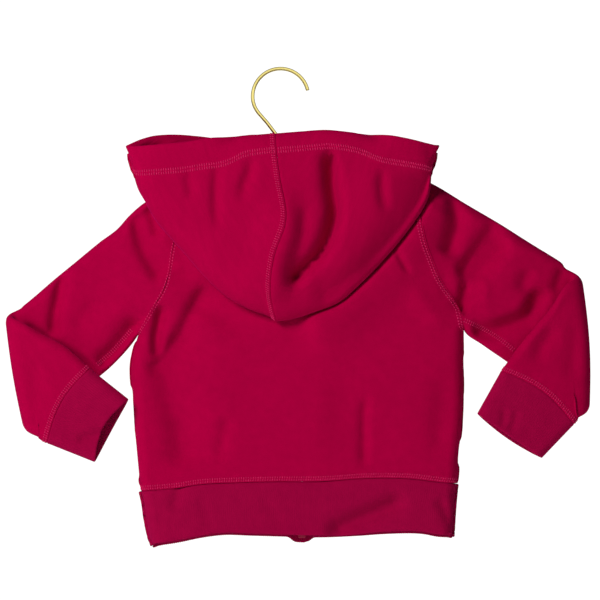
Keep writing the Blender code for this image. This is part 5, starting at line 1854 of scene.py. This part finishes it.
@dataclass
class Zip:
    """Two woven tapes, moulded teeth, the slider with its pull tab and the box at the foot."""

    tooth_pitch: float = 2.4
    tooth_reach: float = 2.9
    tooth_depth: float = 2.4
    tooth_height: float = 1.3
    tooth_bevel: float = 0.35
    tooth_off: float = 0.95
    below_slider: float = 6.0
    tape_rows: int = 120
    tape_columns: int = 14

    def _tape_y(self, z: Value) -> Value:
        """Depth of a tape's outer face."""
        over_band = z - CUT.waist.read(ZIP_BOTTOM_X)[1]
        return HALF_DEPTH - mix(RIB, FLEECE, ease(over_band / TAPE_STEP_OVER)) - SEAM

    def tape(self, side: Side) -> Sheet:
        """Work out one tape, bottom to top, inside the front's edge.

        Args:
            side: the side that it is on.

        Returns:
            The tape.
        """
        z = np.linspace(TAPE_BOTTOM_Z, TAPE_TOP_Z, self.tape_rows)[:, None]
        reach = np.linspace(TAPE_OUTER, TAPE_INNER, self.tape_columns)[None, :]
        points = stacked(CUT.zip_x(z) + side.value * reach, self._tape_y(z), z)
        return Sheet(f"zip_tape_cloth_{side.label}", points, points[..., [0, 2]], TAPE_WALL,
                     flip=side == Side.LEFT)

    def _tooth(self) -> tuple[np.ndarray, list]:
        """Corners, in metres, and faces of one tooth.

        Returns:
            The corners and the faces.
        """
        clear_selection()
        bpy.ops.mesh.primitive_cube_add(size=1.0)
        tooth = bpy.context.active_object
        tooth.dimensions = (self.tooth_reach * MM, self.tooth_depth * MM, self.tooth_height * MM)
        bpy.ops.object.transform_apply(location=False, rotation=False, scale=True)
        with editing(tooth):
            bpy.ops.mesh.bevel(offset=self.tooth_bevel * MM, segments=1, affect="EDGES")
        corners = np.array([vert.co for vert in tooth.data.vertices])
        faces = [list(face.vertices) for face in tooth.data.polygons]
        bpy.data.objects.remove(tooth)
        return corners, faces

    def teeth(self, material: Material) -> Object:
        """Make both rows of teeth: one is modelled, then copied down the tapes by turns.

        Args:
            material: their finish.

        Returns:
            The new object.
        """
        corners, faces = self._tooth()
        top = SLIDER_Z - self.below_slider
        shapes = []
        for number in range(int((top - TAPE_BOTTOM_Z - 1) / (self.tooth_pitch / 2))):
            z = top - number * self.tooth_pitch / 2
            way = 1 if number % 2 else -1
            place = np.array((CUT.zip_x(z) + way * self.tooth_off, self._tape_y(z) - TAPE_WALL / 2, z)) * MM
            shapes.append((corners + place, faces))
        return finished(merged("zip_teeth", shapes, material), GARMENT)

    def softened(self, node: str, body: str, width: float, material: Material) -> Object:
        """A metal part: its solid's form with every corner rounded.

        Args:
            node: the solid.
            body: the body that it moves with.
            width: how far the corners are rounded.
            material: its finish.

        Returns:
            The new object.
        """
        flat_below, corner_above, smooth_below = 2, 40, 50
        piece = FRAME["nodes"][node].copy()
        piece.data = piece.data.copy()
        piece.name = f"{node}_metal"
        piece.parent = None
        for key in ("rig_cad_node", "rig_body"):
            del piece[key]
        bpy.context.scene.collection.objects.link(piece)
        with editing(piece):
            bpy.ops.mesh.remove_doubles(threshold=1e-6)
            bpy.ops.mesh.dissolve_limited(angle_limit=math.radians(flat_below))
        bevel = piece.modifiers.new("rounded", "BEVEL")
        bevel.width, bevel.segments, bevel.angle_limit = width * MM, 3, math.radians(corner_above)
        bpy.ops.object.modifier_apply(modifier=bevel.name)
        bpy.ops.object.shade_smooth_by_angle(angle=math.radians(smooth_below))
        piece.data.materials.clear()
        piece.data.materials.append(material)
        return finished(piece, body, [node])


@dataclass
class Hanger:
    """The brass hook and the arms inside the shoulders."""

    radius: float = 1.85
    ring_x: float = 0.2
    ring_z: float = -26.0
    ring_radius: float = 27.85
    ring_from: float = 12.5
    ring_to: float = 190.0

    SHANK = ((-25.7, -36), (-22.6, -41.3), (-18, -46.8), (-13.2, -52.3), (-5.3, -62.7), (6, -77.7),
             (11.4, -84.8))
    ARMS = ((-121, -128.6), (-106, -120.4), (-90, -112), (-66, -101.6), (-43.3, -93.6), (-15, -89.6),
            (14, -88.6), (50, -89.4), (80.7, -93.2), (98, -97.8), (115, -103.2), (132, -109.8),
            (150, -117.2))
    SIDES, END_SIZE, END_STEP = 20, 0.78, 0.4
    RING_STEPS, SHANK_STEPS, ARM_STEPS = 60, 40, 80

    def _wire(self, name: str, node: str, route_points: np.ndarray, material: Material) -> None:
        """Make a round wire with softened ends.

        Args:
            name: its name.
            node: the solid that it stands for.
            route_points: the points of its middle line.
            material: its finish.
        """
        last = len(route_points) - 1
        run = unit(np.gradient(route_points, axis=0))
        aside = np.array((0.0, 1.0, 0.0))
        other = unit(np.cross(run, aside))
        turn = np.linspace(0, 2 * math.pi, self.SIDES, endpoint=False)[:, None]
        rings = []
        middle = ((step, 0.0, 1.0) for step in range(1, last))
        places = [(0, 0.0, self.END_SIZE), (0, self.END_STEP, 1.0), *middle, (last, -self.END_STEP, 1.0),
                  (last, 0.0, self.END_SIZE)]
        for index, move, size in places:
            centre = route_points[index] + run[index] * move
            rings.append(centre + (np.cos(turn) * aside + np.sin(turn) * other[index]) * self.radius * size)
        corners = np.concatenate(rings) * MM
        faces = [list(range(self.SIDES)), [len(corners) - 1 - corner for corner in range(self.SIDES)]]
        for ring in range(0, len(corners) - self.SIDES, self.SIDES):
            for side in range(self.SIDES):
                first, after = ring + side, ring + (side + 1) % self.SIDES
                faces.append([first, first + self.SIDES, after + self.SIDES, after])
        piece = merged(name, [(corners, faces)], material)
        with editing(piece):
            bpy.ops.mesh.normals_make_consistent(inside=False)
        bpy.ops.object.shade_smooth_by_angle(angle=math.radians(50))
        finished(piece, GARMENT, [node])

    def build(self, material: Material) -> None:
        """Make the hook and the arms.

        Args:
            material: their finish.
        """
        turn = np.radians(np.linspace(self.ring_from, self.ring_to, self.RING_STEPS))
        ring = stacked(self.ring_x + self.ring_radius * np.cos(turn), 0.0,
                       self.ring_z + self.ring_radius * np.sin(turn))
        shank = Curve([*ring[-2:, [0, 2]], *self.SHANK]).at(np.linspace(0.05, 1, self.SHANK_STEPS))
        hook = np.concatenate([ring, stacked(shank[:, 0], 0.0, shank[:, 1])])
        self._wire("hanger_hook_wire", "hanger_hook", hook, material)
        arms = Curve(self.ARMS).at(np.linspace(0, 1, self.ARM_STEPS))
        self._wire("hanger_arm_wire", "hanger_arms", stacked(arms[:, 0], 0.0, arms[:, 1]), material)


# ---- studio ----


class Lamp(NamedTuple):
    """A square soft light."""

    name: str
    place: tuple[float, float, float]
    size: float
    watts: float
    colour: Colour


LAMPS = (
    Lamp("key", (-1.28, -1.61, 0.78), 0.7, 43.0, (1.0, 0.97, 0.94)),
    Lamp("front_fill", (-0.8, -2.6, -0.1), 1.4, 0.9, (0.9, 0.93, 1.0)),
    Lamp("far_side", (-0.8, 2.4, 0.7), 1.4, 42.0, (1.0, 0.98, 0.95)),
)


@dataclass
class Studio:
    """A pale floor, soft light from the upper left and the camera square to the back of the garment."""

    centre: tuple[float, float, float] = (0.0197, 0.0, -0.2295)
    frame_width: float = 0.6
    lens: float = 400.0
    sensor: float = 36.0
    far: float = 40.0
    floor_z: float = -1.15
    floor_size: float = 12.0
    white: tuple[float, ...] = (1, 1, 1, 1)
    white_strength: float = 1.1
    fill: tuple[float, ...] = (0.82, 0.86, 1.0, 1)
    fill_strength: float = 0.06
    shine_spread: tuple[float, ...] = (0.35, -0.85, 0.3, 2.2)

    def _light(self, lamp: Lamp) -> None:
        """Add a light that looks at the garment and isn't mirrored in it.

        Args:
            lamp: the light.
        """
        data = bpy.data.lights.new(lamp.name, "AREA")
        data.energy, data.size, data.color = lamp.watts, lamp.size, lamp.colour
        light = bpy.data.objects.new(lamp.name, data)
        light.location = lamp.place
        light.rotation_euler = (Vector(self.centre) - Vector(lamp.place)).to_track_quat("-Z", "Y").to_euler()
        light.visible_glossy = False
        bpy.context.scene.collection.objects.link(light)

    def _floor(self) -> None:
        """Add a large pale floor below the hanging garment."""
        clear_selection()
        bpy.ops.mesh.primitive_plane_add(size=self.floor_size, location=(0, 0, self.floor_z))
        floor = bpy.context.active_object
        floor.name = "studio_floor"
        floor.data.materials.append(Nodes("studio_white").set(
            roughness=0.9, base_color=(0.9, 0.9, 0.9, 1), emission_strength=0.35, emission_color=self.white))

    def _world(self) -> None:
        """Add a world: white to the eye, brighter from one side in metal, and a weak cool fill on cloth."""
        world = bpy.data.worlds.new("studio")
        world.use_nodes = True
        tree = world.node_tree
        kinds = ("Background", "Background", "TexCoord", "SeparateXYZ", "MapRange", "LightPath", "MixShader",
                 "MixShader")
        fill, shine, place, split, spread, path, to_metal, to_eye = (
            tree.nodes.new(f"ShaderNode{kind}") for kind in kinds)
        seen, end = tree.nodes["Background"], tree.nodes["World Output"]
        for socket, value in (*zip(seen.inputs, (self.white, self.white_strength)),
                              *zip(fill.inputs, (self.fill, self.fill_strength)),
                              *zip(spread.inputs[1:], self.shine_spread)):
            socket.default_value = value
        for source, target in ((place.outputs["Generated"], split.inputs[0]),
                               (split.outputs["Y"], spread.inputs[0]),
                               (spread.outputs[0], shine.inputs[1]),
                               (path.outputs["Is Glossy Ray"], to_metal.inputs[0]),
                               (fill.outputs[0], to_metal.inputs[1]),
                               (shine.outputs[0], to_metal.inputs[2]),
                               (path.outputs["Is Camera Ray"], to_eye.inputs[0]),
                               (to_metal.outputs[0], to_eye.inputs[1]),
                               (seen.outputs[0], to_eye.inputs[2]),
                               (to_eye.outputs[0], end.inputs[0])):
            tree.links.new(source, target)
        bpy.context.scene.world = world

    def build(self) -> None:
        """Make the floor, the lights and the camera."""
        self._floor()
        self._world()
        for lamp in LAMPS:
            self._light(lamp)
        data = bpy.data.cameras.new("camera")
        data.lens, data.sensor_width, data.clip_end = self.lens, self.sensor, self.far
        camera = bpy.data.objects.new("camera", data)
        away = self.frame_width * self.lens / self.sensor
        camera.location = (self.centre[0], -away, self.centre[2])
        camera.rotation_euler = (math.pi / 2, 0, 0)
        bpy.context.scene.collection.objects.link(camera)
        bpy.context.scene.camera = camera
        bpy.context.scene.view_settings.view_transform = "Standard"


# ---- the whole garment ----


class Seam(NamedTuple):
    """A coverstitch between two lines on the cloth."""

    name: str
    look: Stitch
    first: np.ndarray
    second: np.ndarray


def beside(name: str, look: Stitch, sheet: Sheet, edge: str, near: float, far: float) -> Seam:
    """A seam along one edge of a sheet, between two distances from it."""
    return Seam(name, look, sheet.line(edge, near), sheet.line(edge, far))


class Part(NamedTuple):
    """A cut piece, with its finish, its material slot and the solid that it stands for."""

    sheet: Sheet
    material: Material
    slot: str
    node: str

    def show(self) -> None:
        """Make the piece and hand it to the frame in place of its solid."""
        piece = finished(self.sheet.build(self.material), GARMENT, [self.node])


class Garment:
    """All the cloth and the seams on it."""

    def __init__(self, stitching: Stitching, zip_parts: Zip) -> None:
        """Works out the body's cloth.

        Args:
            stitching: what sews the seams.
            zip_parts: what the tapes come from.
        """
        self.fleece, self.rib, self.tape = (finish.material() for finish in (FLEECE_FINISH, RIB_FINISH, TAPE))
        self.stitching, self.zip_parts, self.body = stitching, zip_parts, Body()
        self.back = self.body.back()
        self.parts = [Part(self.back, self.fleece, "body_cloth", "back_panel"),
                      Part(self.body.band(), self.rib, "rib_cloth", "waistband")]
        self.seams: list[Seam] = []

    def add_side(self, side: Side) -> None:
        """Work out the cloth of one side and the seams on it.

        Args:
            side: the side.
        """
        front, sleeve_parts, name = self.body.front(side), Sleeve(side), side.label
        sleeve, cuff, hood = sleeve_parts.sheet(), sleeve_parts.cuff(), Hood(side).sheet()
        self.parts += [Part(front, self.fleece, "body_cloth", f"front_panel_{name}"),
                       Part(sleeve, self.fleece, "body_cloth", f"sleeve_{name}"),
                       Part(cuff, self.rib, "rib_cloth", f"cuff_{name}"),
                       Part(hood, self.fleece, "body_cloth", f"hood_{name}"),
                       Part(self.zip_parts.tape(side), self.tape, "zip_tape", f"zip_tape_{name}")]
        cap_start = SIDE_PART / (SIDE_PART + CAP_PART)
        cap_end = (sleeve_parts.cap_rows - 1) / (len(sleeve.points) - 1)
        near = SEAM_ROW - CLEAR
        if side == Side.LEFT:
            back_rows = (self.back.line("first_column", near, cap_start)[::-1],
                         sleeve.line("first_column", near, 0, cap_end))
        else:
            back_rows = (self.back.line("last_column", row, cap_start) for row in (ROW_IN, ROW_OUT))
        front_rows = (front.line("first_column", near, cap_start)[::-1],
                      sleeve.line("last_column", near, 0, cap_end))
        underarm = (self.stitching.cast(sleeve, UNDERARM_SEAM[side], shift, Face.BACK)
                    for shift in (SEAM_ROW, -SEAM_ROW))
        self.seams += [
            Seam(f"raglan_back_{name}", DOTTED, *back_rows),
            Seam(f"raglan_front_{name}", DOTTED, *front_rows),
            beside(f"cuff_seam_{name}", LADDER, sleeve, "last_row", ROW_IN, ROW_OUT),
            beside(f"waist_front_{name}", LADDER, front, "first_row", ROW_IN, ROW_OUT),
            beside(f"hood_hem_{name}", RUNGS, hood, "last_row", HEM_ROWS_AT - HEM_ROW, HEM_ROWS_AT + HEM_ROW),
            Seam(f"underarm_{name}", LADDER, *underarm),
        ]
        self.stitching.plain(f"zip_stitching_{name}", front.line("last_column", ZIP_ROW))
        if side == Side.LEFT:
            self.seams.append(beside("hood_centre", RUNGS, hood, "last_column", ROW_IN, ROW_OUT + 1))

    def build(self) -> None:
        """Make the seams and the cloth."""
        for side in Side:
            self.add_side(side)
        self.seams.append(beside("waist_back", LADDER, self.back, "first_row", ROW_IN, ROW_OUT))
        for seam in self.seams:
            self.stitching.cover(f"stitch_{seam.name}", seam.first, seam.second, seam.look)
        for part in self.parts:
            part.show()


def main() -> None:
    """Build every sub-assembly in order."""
    slider_round, retainer_round, tab_round = 0.25, 0.3, 0.3
    logging.basicConfig(level=logging.INFO, format="%(message)s")
    steel, teeth = STEEL.material(), TEETH.material()
    Studio().build()
    Hanger().build(BRASS.material())
    zip_parts = Zip()
    Garment(Stitching(THREAD.material()), zip_parts).build()
    zip_parts.teeth(teeth)
    zip_parts.softened("zip_slider", GARMENT, slider_round, steel)
    zip_parts.softened("zip_retainer", GARMENT, retainer_round, teeth)
    zip_parts.softened("zip_pull", PULL_TAB, tab_round, steel)


if __name__ == "__main__":
    main()
